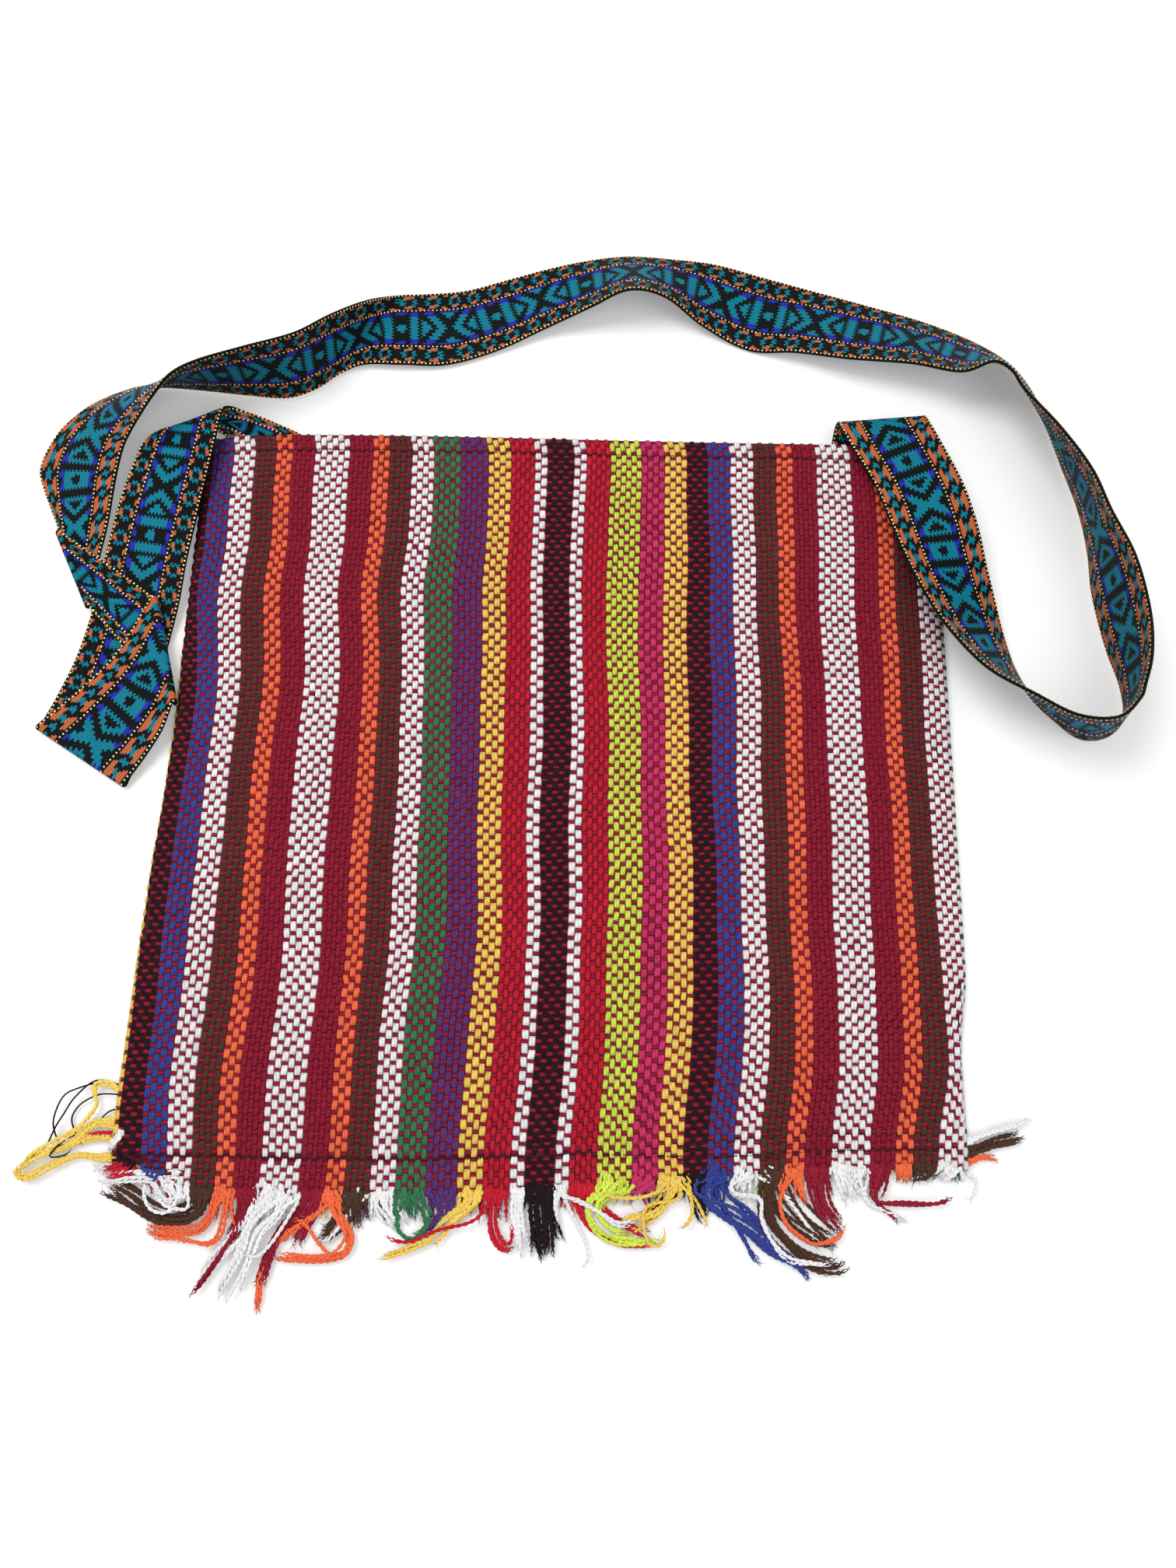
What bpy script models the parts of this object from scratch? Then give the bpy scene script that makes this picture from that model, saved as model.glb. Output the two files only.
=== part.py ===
"""Flat handwoven shoulder bag with warp stripes, a yarn fringe and a long ribbon strap.

The bag lies on its back panel. The origin is on the underside of that panel, at the
middle of the bag: +X is its right side, +Y is the mouth and +Z is up. Units are metres.
"""

import math

import bmesh
import bpy
from mathutils import Vector

MM = 0.001
GAP = 0.3 * MM

# The bag, lying flat
BAG_LEFT = -144.0 * MM
BAG_RIGHT = 145.0 * MM
MOUTH_Y = 140.0 * MM
BOTTOM_Y = -142.0 * MM
BOTTOM_RISE = 12.0 * MM
LOWER_LEFT_SPREAD = 4.5 * MM
SPREAD_START_Y = -40.0 * MM
SPREAD_REACH = 80.0 * MM
RISE_START_X = -60.0 * MM
RISE_REACH = 190.0 * MM
CORNER_LIFT = 7.0 * MM
CORNER_REACH = 24.0 * MM
CLOTH = 2.0 * MM
EDGE_HEIGHT = 2 * CLOTH + 0.4 * MM
BAG_HEIGHT = 11.6 * MM
FOLD_RADIUS = EDGE_HEIGHT / 2
POCKET_RISE = 70.0 * MM
SEAM_ABOVE_END = 11.5 * MM
POCKET_FLOOR_ABOVE_SEAM = 3.0 * MM
POCKET_SIDE_WALL = 1.2 * MM
POCKET_SIDE_TURN = 0.5 * MM
POCKET_LEAST_GAP = 0.25 * MM
HEM_DEPTH = 7.0 * MM
HEM_EXTRA = 0.5 * MM
STRIPE_GROOVE = 0.35 * MM
STITCH_GROOVE = 0.5 * MM
GROOVE_HALF_WIDTH = 2.6 * MM
SIDE_SQUARENESS = 10
CLIMB_ROUNDNESS = 0.8
WAVE_HEIGHT = 0.35 * MM
WAVE_ACROSS = 31.0 * MM
WAVE_ALONG = 47.0 * MM
LIP_DEPTH = 1.2 * MM
LIP_ROUNDING = 0.6 * MM
ARC_STEPS = 4
SHARP_ANGLE = math.radians(40)

# Where the rings of the mesh lie between the stitch lines
FRONT_ROWS_ABOVE_SEAM = (12.0 * MM, 26.0 * MM)
FRONT_ROWS_BELOW_MOUTH = (190.0 * MM, 145.0 * MM, 100.0 * MM, 60.0 * MM, 28.0 * MM)
POCKET_ROWS_BELOW_MOUTH = (150.0 * MM, 70.0 * MM)
HEM_EDGE = 1.5 * MM

# The warp stripes of the front, from the left fold to the right seam: colour and width
STRIPES = [
    ("black", 8.2), ("blue", 8.8), ("white", 8.9), ("brown", 8.5), ("orange", 6.4),
    ("maroon", 8.8), ("white", 13.3), ("maroon", 8.8), ("orange", 6.3), ("brown", 8.5),
    ("white", 8.6), ("green", 10.4), ("purple", 10.7), ("yellow", 8.8), ("red", 9.0),
    ("white", 4.8), ("black", 9.9), ("white", 4.8), ("red", 9.0), ("lime", 11.9),
    ("pink", 9.0), ("yellow", 8.8), ("black", 8.2), ("blue", 8.8), ("white", 8.9),
    ("brown", 8.5), ("orange", 6.4), ("maroon", 8.8), ("white", 13.3), ("maroon", 8.8),
    ("orange", 6.3), ("brown", 8.5), ("white", 8.6),
]

# How far each stripe's yarn ends reach past the woven end, in millimetres
TUFT_LENGTHS = [
    9, 12, 13, 14, 18, 36, 35, 39, 24, 13, 12, 16, 17, 25, 19, 24, 29, 16, 19, 25, 17, 21, 17,
    34, 25, 21, 14, 15, 8, 14, 9, 9, 10,
]
# How the ends are combed: at each x in millimetres, the sideways lean for each step down
COMB = [(-160, -0.70), (-60, -0.55), (-20, -0.30), (20, 0.0), (60, 0.10), (80, 0.60), (160, 0.45)]
COMB_CURL = 0.45
COMB_LENGTH = 38.0 * MM
TUFT_HEIGHT = 3.0 * MM
TUFT_WIDTH_SHARE = 0.78
TUFT_SIDES = 10
TUFT_RINGS = 5
TUFT_LOBES = 3
LOBE_DEPTH = 0.14
TUFT_NARROWING = 0.38
TIP_SIZE = 0.55
TIP_REACH = 0.16
SIDE_TUFT_BEND = 0.45
LEFT_TUFT_TIP = (-34.0 * MM, -20.0 * MM)
RIGHT_TUFT_TIP = (21.0 * MM, 4.0 * MM)
SIDE_TUFT_Y = -116.0 * MM
SIDE_TUFT_WIDTH = 9.0 * MM

# Sewing thread
THREAD_RADIUS = 0.3 * MM

# The ribbon strap
STRAP_THICKNESS = 1.2 * MM
STRAP_STEP = 9.0 * MM
FOLD_STEPS = 6

# The strap's route in millimetres, as pairs of points on its two edges, chosen by hand.
# It starts inside the mouth at the left, and a sharp fold joins each run to the next.
# It was drawn for a bag with these edges, and follows the bag when they move.
DRAWN_LEFT = -144.0
DRAWN_RIGHT = 145.0
DRAWN_MOUTH = 140.0
FIRST_RUN = [
    ((-134, 100, 3.8), (-100, 100, 3.8)), ((-134, 124, 3.8), (-100, 124, 3.8)),
    ((-134, 139.5, 3.8), (-103, 140.5, 4)), ((-143, 145, 4.6), (-116, 147.5, 5.6)),
    ((-156, 144, 6.2), (-128, 151, 8.2)), ((-163, 140, 8), (-133, 151, 11)),
    ((-166.5, 134, 9.5), (-135, 147.5, 13.5)), ((-168.5, 127, 9.5), (-136, 138, 14)),
    ((-171, 119, 8.5), (-137.5, 127, 13)), ((-174, 108, 6.5), (-140.5, 110, 10.5)),
    ((-177.5, 89, 3.5), (-144.5, 87, 7)), ((-180, 70, 1.8), (-146.5, 70, 4.5)),
    ((-184, 50, 1), (-150, 51, 1.8)), ((-189.5, 33, 1), (-154.5, 16, 1)),
    ((-194.5, 21, 1), (-159, -1, 1)),
]
SECOND_RUN = [
    ((-194.5, 21, 3), (-159, -1, 3)), ((-186.5, 28, 4.4), (-155, 4.5, 4)),
    ((-178, 35.5, 6.2), (-150.5, 11, 5.6)), ((-166.5, 49, 7.4), (-146, 19, 7.2)),
    ((-156, 72, 7.6), (-143.5, 28.5, 7.8)),
]
THIRD_RUN = [
    ((-156, 72, 5.4), (-143.5, 28.5, 5.6)), ((-170, 82, 5.2), (-157, 43, 5.2)),
    ((-183, 90.5, 5), (-169.5, 56.5, 5)), ((-196.5, 99.5, 5), (-180.5, 68, 5)),
]
LAST_RUN = [
    ((-196.5, 99.5, 3), (-180.5, 68, 3)), ((-201, 108, 2.4), (-180, 85, 3.2)),
    ((-206, 118, 1.2), (-177, 102, 6)), ((-209, 127, 1), (-175, 119.5, 9)),
    ((-207, 137, 1), (-172.5, 131, 12)), ((-202, 147, 1), (-169, 137, 15)),
    ((-192, 157, 1), (-164, 143, 19)), ((-177, 164.5, 1), (-157, 148, 25.5)),
    ((-165, 166, 1), (-150, 153, 30)), ((-149, 165, 1), (-140, 157.5, 32)),
    ((-130, 163, 1), (-123, 163, 33)), ((-114, 162, 1), (-105, 171, 31)),
    ((-103, 166, 1), (-93, 184, 25)), ((-94, 173, 1), (-82, 198, 15)),
    ((-84, 177, 2.5), (-72, 209, 4)), ((-68, 177, 3), (-60, 212, 1)),
    ((-50, 178, 2), (-44, 214, 1)), ((-30, 185, 2), (-26, 220, 1)),
    ((-10, 194, 5), (-8, 226, 1)), ((8, 199, 12), (8, 230, 1)),
    ((23, 202, 19), (24, 232, 1)), ((38, 202, 15), (42, 231, 1)),
    ((54, 196, 5), (60, 229, 1)), ((73, 188, 1), (80, 223, 1)),
    ((91, 184, 6), (100, 217, 1)), ((111, 180, 13), (120, 211, 1)),
    ((135, 175, 20), (145, 203, 1)), ((153, 173, 26), (165, 194, 1)),
    ((164, 171, 30), (179, 184, 1)), ((171, 165, 31), (187, 172, 1)),
    ((178, 154, 32.5), (192, 158, 1)), ((188, 136, 34), (197, 138, 1)),
    ((198, 117, 35), (202, 118, 1)), ((204, 100, 36), (204, 100, 1)),
    ((205, 82, 36), (204, 82, 1)), ((208, 61, 36), (207, 61, 1)),
    ((212, 45, 36), (211, 45, 1)), ((211, 34, 36), (211, 34, 1)),
    ((204, 28, 36), (204, 28, 1)), ((193, 24, 36), (194, 26, 1)),
    ((180, 25, 35), (185, 31, 1)), ((166, 30, 32.5), (177, 40, 1)),
    ((151, 41, 29), (171, 51, 2)), ((139, 58, 25), (167, 64, 4)),
    ((132, 74, 21.5), (164, 77, 6.5)), ((127, 89, 18.5), (161, 90, 9)),
    ((123, 104, 16), (158, 104, 12)), ((118, 120, 15), (153, 121, 14)),
    ((111, 135, 14), (146, 138, 14)), ((107, 144, 13), (142, 148, 13)),
    ((106, 150, 9), (141, 153.5, 9)), ((105, 146, 5), (139, 148.5, 5)),
    ((104, 138, 3.8), (137, 138.5, 3.7)), ((103, 124, 3.7), (136, 124, 3.6)),
    ((103, 102, 3.7), (136, 102, 3.6)),
]

# The bar tacks that sew the strap's ends to the cloth, drawn like the route
TACK_Z = 3.8 + (STRAP_THICKNESS / 2 + GAP + THREAD_RADIUS) / MM
TACK_LEFT = (-126.0, 112.0, TACK_Z)
TACK_RIGHT = (111.0, 112.0, TACK_Z)
TACK_WIDTH = 17.0 * MM
TACK_DEPTH = 9.0 * MM
TACK_TURNS = 5

COLOURS = {
    "black": (0.018, 0.010, 0.012), "blue": (0.035, 0.045, 0.28), "white": (0.92, 0.88, 0.90),
    "brown": (0.085, 0.040, 0.024), "orange": (0.90, 0.11, 0.035),
    "maroon": (0.30, 0.012, 0.035), "green": (0.028, 0.13, 0.045),
    "purple": (0.085, 0.028, 0.14), "yellow": (0.84, 0.50, 0.05), "red": (0.50, 0.012, 0.022),
    "lime": (0.50, 0.72, 0.055), "pink": (0.54, 0.030, 0.12), "teal": (0.010, 0.26, 0.37),
    "thread": (0.030, 0.008, 0.012),
}


def material(name):
    """Return the yarn material of that colour, made once."""
    made = bpy.data.materials.get(name)
    if made:
        return made
    made = bpy.data.materials.new(name)
    made.use_nodes = True
    shader = made.node_tree.nodes["Principled BSDF"]
    shader.inputs["Base Color"].default_value = (*COLOURS[name], 1.0)
    shader.inputs["Roughness"].default_value = 0.85
    shader.inputs["Metallic"].default_value = 0.0
    return made


def ease(value):
    """Rise smoothly from 0 to 1."""
    value = min(1.0, max(0.0, value))
    return value * value * (3 - 2 * value)


def add_mesh(name, mesh, colour):
    """Put a mesh in the bag's collection as a named object with one material."""
    made = bpy.data.objects.new(name, mesh)
    mesh.materials.append(material(colour))
    parts.objects.link(made)
    return made


def finish_mesh(name, work, colour):
    """Turn a bmesh into a named object with its faces pointing out."""
    bmesh.ops.recalc_face_normals(work, faces=work.faces)
    mesh = bpy.data.meshes.new(name)
    work.to_mesh(mesh)
    work.free()
    mesh.shade_smooth()
    mesh.set_sharp_from_angle(angle=SHARP_ANGLE)
    return add_mesh(name, mesh, colour)


# The bag's outline and thickness

def left_edge(y):
    """The left fold, which spreads a little towards the lower corner."""
    low = ease((SPREAD_START_Y - y) / SPREAD_REACH)
    return BAG_LEFT - LOWER_LEFT_SPREAD * low


def end_line(x):
    """The woven end at the bottom, which rises towards the right."""
    return BOTTOM_Y + BOTTOM_RISE * ease((x - RISE_START_X) / RISE_REACH)


def seam_line(x):
    """The bottom seam."""
    return end_line(x) + SEAM_ABOVE_END


def across(x, y):
    """Where x lies between the side edges, from -1 to 1."""
    left = left_edge(y)
    middle = (left + BAG_RIGHT) / 2
    half = (BAG_RIGHT - left) / 2
    return (x - middle) / half


def puff(x, y):
    """How full the pocket is here, from 0 at its seams to 1."""
    sides = 1 - min(1.0, abs(across(x, y))) ** SIDE_SQUARENESS
    climb = min(1.0, max(0.0, (y - seam_line(x)) / POCKET_RISE))
    return sides * math.sin(climb * math.pi / 2) ** CLIMB_ROUNDNESS


def smooth_height(x, y):
    """The front panel's outer surface without ridges or grooves."""
    wave = WAVE_HEIGHT * math.sin(x / WAVE_ACROSS + y / WAVE_ALONG)
    full = puff(x, y)
    return EDGE_HEIGHT + (BAG_HEIGHT - EDGE_HEIGHT + wave) * full


def stripe_bounds(y):
    """The x of every stripe boundary on the front at this height."""
    left = left_edge(y) + FOLD_RADIUS
    right = BAG_RIGHT - FOLD_RADIUS
    total = sum(width for _, width in STRIPES)
    bounds = [left]
    for _, width in STRIPES:
        bounds.append(bounds[-1] + width / total * (right - left))
    return bounds


def columns(y):
    """The x of every stripe boundary and stripe middle on the front."""
    bounds = stripe_bounds(y)
    places = []
    for start, end in zip(bounds, bounds[1:]):
        places += [start, (start + end) / 2]
    return places + [bounds[-1]]


def side_arc(edge_x, inward, low, high, reach):
    """Points round a side fold, from its high end to its low end."""
    middle = (low + high) / 2
    half = (high - low) / 2
    points = []
    for step in range(1, ARC_STEPS):
        angle = math.pi * step / ARC_STEPS
        x = edge_x + inward * reach * (1 - math.sin(angle))
        points.append((x, middle + half * math.cos(angle)))
    return points


def outer_rows():
    """Each outer row's place above the seam, and how deep its groove is there."""
    rows = [("end", 0.0, 0.0), ("end", SEAM_ABOVE_END - GROOVE_HALF_WIDTH, 0.0)]
    rows += [("end", SEAM_ABOVE_END, STITCH_GROOVE)]
    rows += [("end", SEAM_ABOVE_END + GROOVE_HALF_WIDTH, 0.0)]
    rows += [("end", SEAM_ABOVE_END + height, 0.0) for height in FRONT_ROWS_ABOVE_SEAM]
    rows += [("mouth", depth, 0.0) for depth in FRONT_ROWS_BELOW_MOUTH]
    rows += [("mouth", HEM_DEPTH + GROOVE_HALF_WIDTH, 0.0)]
    rows += [("mouth", HEM_DEPTH, STITCH_GROOVE), ("mouth", HEM_DEPTH - GROOVE_HALF_WIDTH, 0.0)]
    rows += [("mouth", LIP_DEPTH, 0.0), ("mouth", 0.0, LIP_ROUNDING)]
    return rows


def corner_lift(distance, x):
    """How far the lower left corner turns up, this far above the woven end."""
    corner = ease((BAG_LEFT + CORNER_REACH - x) / CORNER_REACH)
    return CORNER_LIFT * corner * max(0.0, 1 - distance / SEAM_ABOVE_END)


def row_y(kind, distance, x):
    """The y of a row measured from the woven end or from the mouth."""
    if kind == "end":
        return end_line(x) + distance + corner_lift(distance, x)
    return MOUTH_Y - distance


def outer_ring(kind, distance, groove):
    """One closed ring of the bag's outer surface: front, right fold, back, left fold."""
    nominal = row_y(kind, distance, 0.0)
    places = columns(nominal)
    ring = []
    for index, x in enumerate(places):
        y = row_y(kind, distance, x)
        ridge = 0.0 if index % 2 else STRIPE_GROOVE
        ring.append((x, y, smooth_height(x, y) - ridge - groove))
    right_y = row_y(kind, distance, places[-1])
    for x, z in side_arc(BAG_RIGHT, -1, 0.0, ring[-1][2], FOLD_RADIUS):
        ring.append((x, right_y, z))
    for x in reversed(places[::2]):
        ring.append((x, row_y(kind, distance, x), 0.0))
    left_y = row_y(kind, distance, places[0])
    for x, z in reversed(side_arc(left_edge(nominal), 1, 0.0, ring[0][2], FOLD_RADIUS)):
        ring.append((x, left_y, z))
    return ring


def inner_ring(kind, distance, hem):
    """One closed ring of the pocket's wall, in the same order as the outer ring."""
    nominal = row_y(kind, distance, 0.0)
    places = columns(nominal)
    middle = (places[0] + places[-1]) / 2
    squeeze = 1 - POCKET_SIDE_WALL / (places[-1] - middle)
    ring = []
    floors = []
    for x in places:
        inside = middle + (x - middle) * squeeze
        y = row_y(kind, distance, inside)
        wall = CLOTH + hem * puff(inside, y)
        floors.append((inside, y, wall))
        top = smooth_height(inside, y) - wall
        ring.append((inside, y, max(top - STRIPE_GROOVE * puff(inside, y), wall + POCKET_LEAST_GAP)))
    turn = POCKET_SIDE_TURN
    right = ring[-1]
    for x, z in side_arc(right[0] + turn, -1, floors[-1][2], right[2], turn):
        ring.append((x, right[1], z))
    ring += [floors[index] for index in range(len(floors) - 1, -1, -2)]
    left = ring[0]
    for x, z in reversed(side_arc(left[0] - turn, 1, floors[0][2], left[2], turn)):
        ring.append((x, left[1], z))
    return ring


def join_rings(work, lower, upper):
    """Skin two rings that have the same number of points."""
    count = len(lower)
    for index in range(count):
        after = (index + 1) % count
        work.faces.new((lower[index], lower[after], upper[after], upper[index]))


def close_ring(work, ring):
    """Close a flattened ring, joining its front to its back stripe by stripe."""
    front = 2 * len(STRIPES) + 1
    arc = ARC_STEPS - 1
    backs = ring[front + arc:len(ring) - arc]
    backs.reverse()
    for index in range(len(STRIPES)):
        tops = ring[2 * index:2 * index + 3]
        work.faces.new((backs[index], backs[index + 1], tops[2], tops[1], tops[0]))
    work.faces.new([ring[front - 1], *ring[front:front + arc], backs[-1]])
    work.faces.new([backs[0], *ring[len(ring) - arc:], ring[0]])


def make_bag():
    """The one cloth of the bag: folded at the left, sewn at the right and the bottom."""
    work = bmesh.new()
    outer = []
    for kind, distance, groove in outer_rows():
        outer.append([work.verts.new(point) for point in outer_ring(kind, distance, groove)])
    inner_rows = [("end", SEAM_ABOVE_END + POCKET_FLOOR_ABOVE_SEAM, 0.0)]
    inner_rows += [("end", SEAM_ABOVE_END + FRONT_ROWS_ABOVE_SEAM[-1], 0.0)]
    inner_rows += [("mouth", depth, 0.0) for depth in POCKET_ROWS_BELOW_MOUTH]
    inner_rows += [("mouth", HEM_DEPTH + HEM_EDGE, 0.0)]
    inner_rows += [("mouth", HEM_DEPTH, HEM_EXTRA), ("mouth", 0.0, HEM_EXTRA)]
    inner = []
    for kind, distance, hem in inner_rows:
        inner.append([work.verts.new(point) for point in inner_ring(kind, distance, hem)])
    for rings in (outer, inner):
        for lower, upper in zip(rings, rings[1:]):
            join_rings(work, lower, upper)
    join_rings(work, outer[-1], inner[-1])
    close_ring(work, outer[0])
    close_ring(work, inner[0])
    return finish_mesh("bag_body", work, "maroon")


# Fringe

def tuft_section(width, height):
    """A tuft's section: a flattened oval with three shallow lobes of yarn on top."""
    points = []
    for side in range(TUFT_SIDES):
        angle = 2 * math.pi * side / TUFT_SIDES
        lobe = 1 - LOBE_DEPTH * (1 + math.cos(TUFT_LOBES * angle)) / 2
        points.append((width / 2 * math.cos(angle), height / 2 * math.sin(angle) * lobe))
    return points


def comb_lean(x):
    """The lean of the yarn ends that leave the cloth at x."""
    for (start, first), (end, last) in zip(COMB, COMB[1:]):
        if x <= end * MM:
            return first + (last - first) * ease((x / MM - start) / (end - start))
    return COMB[-1][1]


def combed_path(x, y, length):
    """The centre line of a bundle that leaves the woven end at x, y."""
    path = []
    for step in range(TUFT_RINGS + 1):
        down = length * step / TUFT_RINGS
        sideways = comb_lean(x) * down * (down / COMB_LENGTH) ** COMB_CURL
        path.append(Vector((x + sideways, y - down, 0.0)))
    return path


def side_path(x, y, outward, tip):
    """The centre line of a bundle that leaves a side edge and droops towards its tip."""
    start = Vector((x, y, 0.0))
    reach = Vector((*tip, 0.0))
    bend = start + Vector((outward, 0.0, 0.0)) * reach.length * SIDE_TUFT_BEND
    path = []
    for step in range(TUFT_RINGS + 1):
        share = step / TUFT_RINGS
        left_over = 1 - share
        path.append(left_over ** 2 * start + 2 * share * left_over * bend + share ** 2 * (start + reach))
    return path


def make_tuft(name, path, width, colour):
    """A bundle of yarn ends lying on the floor along its path, with a rounded tip."""
    work = bmesh.new()
    rings = []
    last = len(path) - 1
    closing = path[last] + (path[last] - path[last - 1]).normalized() * width * TIP_REACH
    for index, place in enumerate(path + [closing]):
        ahead = path[min(index + 1, last)]
        behind = path[max(min(index, last) - 1, 0)]
        side_way = (ahead - behind).normalized().cross(Vector((0.0, 0.0, 1.0)))
        if index == 0:
            side_way = Vector((side_way.x, 0.0, 0.0)) if abs(side_way.x) > 0.5 else side_way
        size = 1 - TUFT_NARROWING * min(index, last) / last
        if index > last:
            size *= TIP_SIZE
        ring = []
        for wide, high in tuft_section(width * size, TUFT_HEIGHT * size):
            point = place + side_way * wide
            ring.append(work.verts.new((point.x, point.y, TUFT_HEIGHT * size / 2 + high)))
        rings.append(ring)
    for lower, upper in zip(rings, rings[1:]):
        join_rings(work, lower, upper)
    work.faces.new(rings[0])
    work.faces.new(rings[-1])
    return finish_mesh(name, work, colour)


def make_fringe():
    """The yarn ends past the woven end, one bundle for each stripe, and one at each side."""
    bounds = stripe_bounds(BOTTOM_Y)
    for index, (colour, _) in enumerate(STRIPES):
        width = bounds[index + 1] - bounds[index]
        middle = (bounds[index] + bounds[index + 1]) / 2
        low = min(row_y("end", 0.0, bounds[index]), row_y("end", 0.0, bounds[index + 1])) - GAP
        path = combed_path(middle, low, TUFT_LENGTHS[index] * MM)
        name = "fringe_{:02d}_{}".format(index + 1, colour)
        make_tuft(name, path, width * TUFT_WIDTH_SHARE, colour)
    left = left_edge(SIDE_TUFT_Y - SIDE_TUFT_WIDTH) - 2 * GAP
    left_path = side_path(left, SIDE_TUFT_Y, -1, LEFT_TUFT_TIP)
    make_tuft("fringe_left_side", left_path, SIDE_TUFT_WIDTH, "yellow")
    right_path = side_path(BAG_RIGHT + GAP, SIDE_TUFT_Y, 1, RIGHT_TUFT_TIP)
    make_tuft("fringe_right_side", right_path, SIDE_TUFT_WIDTH, "brown")


# Thread

def follow_bag(drawn):
    """A point drawn in millimetres, moved with the bag's side edges and its mouth."""
    x, y, z = drawn
    share = min(1.0, max(0.0, (x - DRAWN_LEFT) / (DRAWN_RIGHT - DRAWN_LEFT)))
    left_move = BAG_LEFT - DRAWN_LEFT * MM
    right_move = BAG_RIGHT - DRAWN_RIGHT * MM
    sideways = left_move * (1 - share) + right_move * share
    return Vector((x * MM + sideways, y * MM + MOUTH_Y - DRAWN_MOUTH * MM, z * MM))


def make_thread(name, points):
    """A sewing thread through the points."""
    data = bpy.data.curves.new(name, "CURVE")
    data.dimensions = "3D"
    data.bevel_depth = THREAD_RADIUS
    data.bevel_resolution = 1
    data.use_fill_caps = True
    data.render_resolution_u = 0
    spline = data.splines.new("POLY")
    spline.points.add(len(points) - 1)
    for place, point in zip(spline.points, points):
        place.co = (*point, 1.0)
    data.materials.append(material("thread"))
    made = bpy.data.objects.new(name, data)
    parts.objects.link(made)
    return made


def make_seam_thread(name, kind, distance):
    """A line of stitches that runs across the front in its groove."""
    nominal = row_y(kind, distance, 0.0)
    points = []
    for x in stripe_bounds(nominal)[1:-1]:
        y = row_y(kind, distance, x)
        z = smooth_height(x, y) - STITCH_GROOVE + GAP + THREAD_RADIUS
        points.append((x, y, z))
    return make_thread(name, points)


def make_tack(name, drawn_corner):
    """A zigzag of thread that holds one end of the strap."""
    corner = follow_bag(drawn_corner)
    points = []
    for turn in range(2 * TACK_TURNS + 1):
        x = corner.x + TACK_WIDTH * turn / (2 * TACK_TURNS)
        y = corner.y + (TACK_DEPTH if turn % 2 else 0.0)
        points.append((x, y, corner.z))
    return make_thread(name, points)


# Strap

def blend_points(before, start, end, after, share):
    """A point on the smooth curve through four points, between the middle two."""
    square = share * share
    cube = square * share
    ahead = (2 * start) + (end - before) * share
    ahead += (2 * before - 5 * start + 4 * end - after) * square
    ahead += (3 * start - before - 3 * end + after) * cube
    return ahead / 2


def smooth_run(stations):
    """Evenly spaced pairs of edge points along one run of the strap."""
    pairs = [(follow_bag(a), follow_bag(b)) for a, b in stations]
    ends = [pairs[0]] + pairs + [pairs[-1]]
    run = []
    for index in range(len(pairs) - 1):
        group = ends[index:index + 4]
        longest = max((group[2][edge] - group[1][edge]).length for edge in (0, 1))
        steps = max(1, round(longest / STRAP_STEP))
        for step in range(steps):
            run.append([blend_points(*[pair[edge] for pair in group], step / steps) for edge in (0, 1)])
    run.append(list(pairs[-1]))
    return run


def half_turn(run, following, side):
    """The strap's turn round a fold line, from one run's end to the next run's start."""
    start, end = run[-1], following[0]
    line = (start[1] - start[0]).normalized()
    outward = Vector((line.y, -line.x, 0.0)).normalized() * side
    turn = []
    for step in range(1, FOLD_STEPS):
        angle = math.pi * step / FOLD_STEPS
        pair = []
        for edge in (0, 1):
            middle = (start[edge] + end[edge]) / 2
            radius = (end[edge].z - start[edge].z) / 2
            lift = Vector((0.0, 0.0, -radius * math.cos(angle)))
            pair.append(middle + lift + outward * abs(radius) * math.sin(angle))
        turn.append(pair)
    return turn


def strap_pairs():
    """All pairs of edge points of the strap, from its left end to its right end."""
    runs = [smooth_run(stations) for stations in (FIRST_RUN, SECOND_RUN, THIRD_RUN, LAST_RUN)]
    pairs = list(runs[0])
    for run, following, side in zip(runs, runs[1:], (1, -1, 1)):
        pairs += half_turn(run, following, side)
        pairs += following
    return pairs


def make_strap():
    """The woven ribbon: a thin sheet between its two edges, given its thickness."""
    work = bmesh.new()
    rows = []
    for first, second in strap_pairs():
        middle = (first + second) / 2
        rows.append([work.verts.new(point) for point in (first, middle, second)])
    for lower, upper in zip(rows, rows[1:]):
        for column in (0, 1):
            corners = (lower[column], lower[column + 1], upper[column + 1], upper[column])
            work.faces.new(corners)
    mesh = bpy.data.meshes.new("strap")
    work.to_mesh(mesh)
    work.free()
    mesh.shade_smooth()
    made = add_mesh("strap", mesh, "teal")
    thicken = made.modifiers.new("thickness", "SOLIDIFY")
    thicken.thickness = STRAP_THICKNESS
    thicken.offset = 0.0
    thicken.use_even_offset = False
    return made


for old in list(bpy.data.objects):
    bpy.data.objects.remove(old, do_unlink=True)
parts = bpy.data.collections.new("woven_striped_shoulder_bag")
bpy.context.scene.collection.children.link(parts)

make_bag()
make_fringe()
make_strap()
make_seam_thread("hem_stitching", "mouth", HEM_DEPTH)
make_seam_thread("bottom_stitching", "end", SEAM_ABOVE_END)
make_tack("strap_tack_left", TACK_LEFT)
make_tack("strap_tack_right", TACK_RIGHT)
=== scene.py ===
"""Looks of the handwoven striped shoulder bag: its weave, fringe, stitches and ribbon strap."""

import math

import bpy
import numpy as np
from mathutils import Matrix


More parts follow.
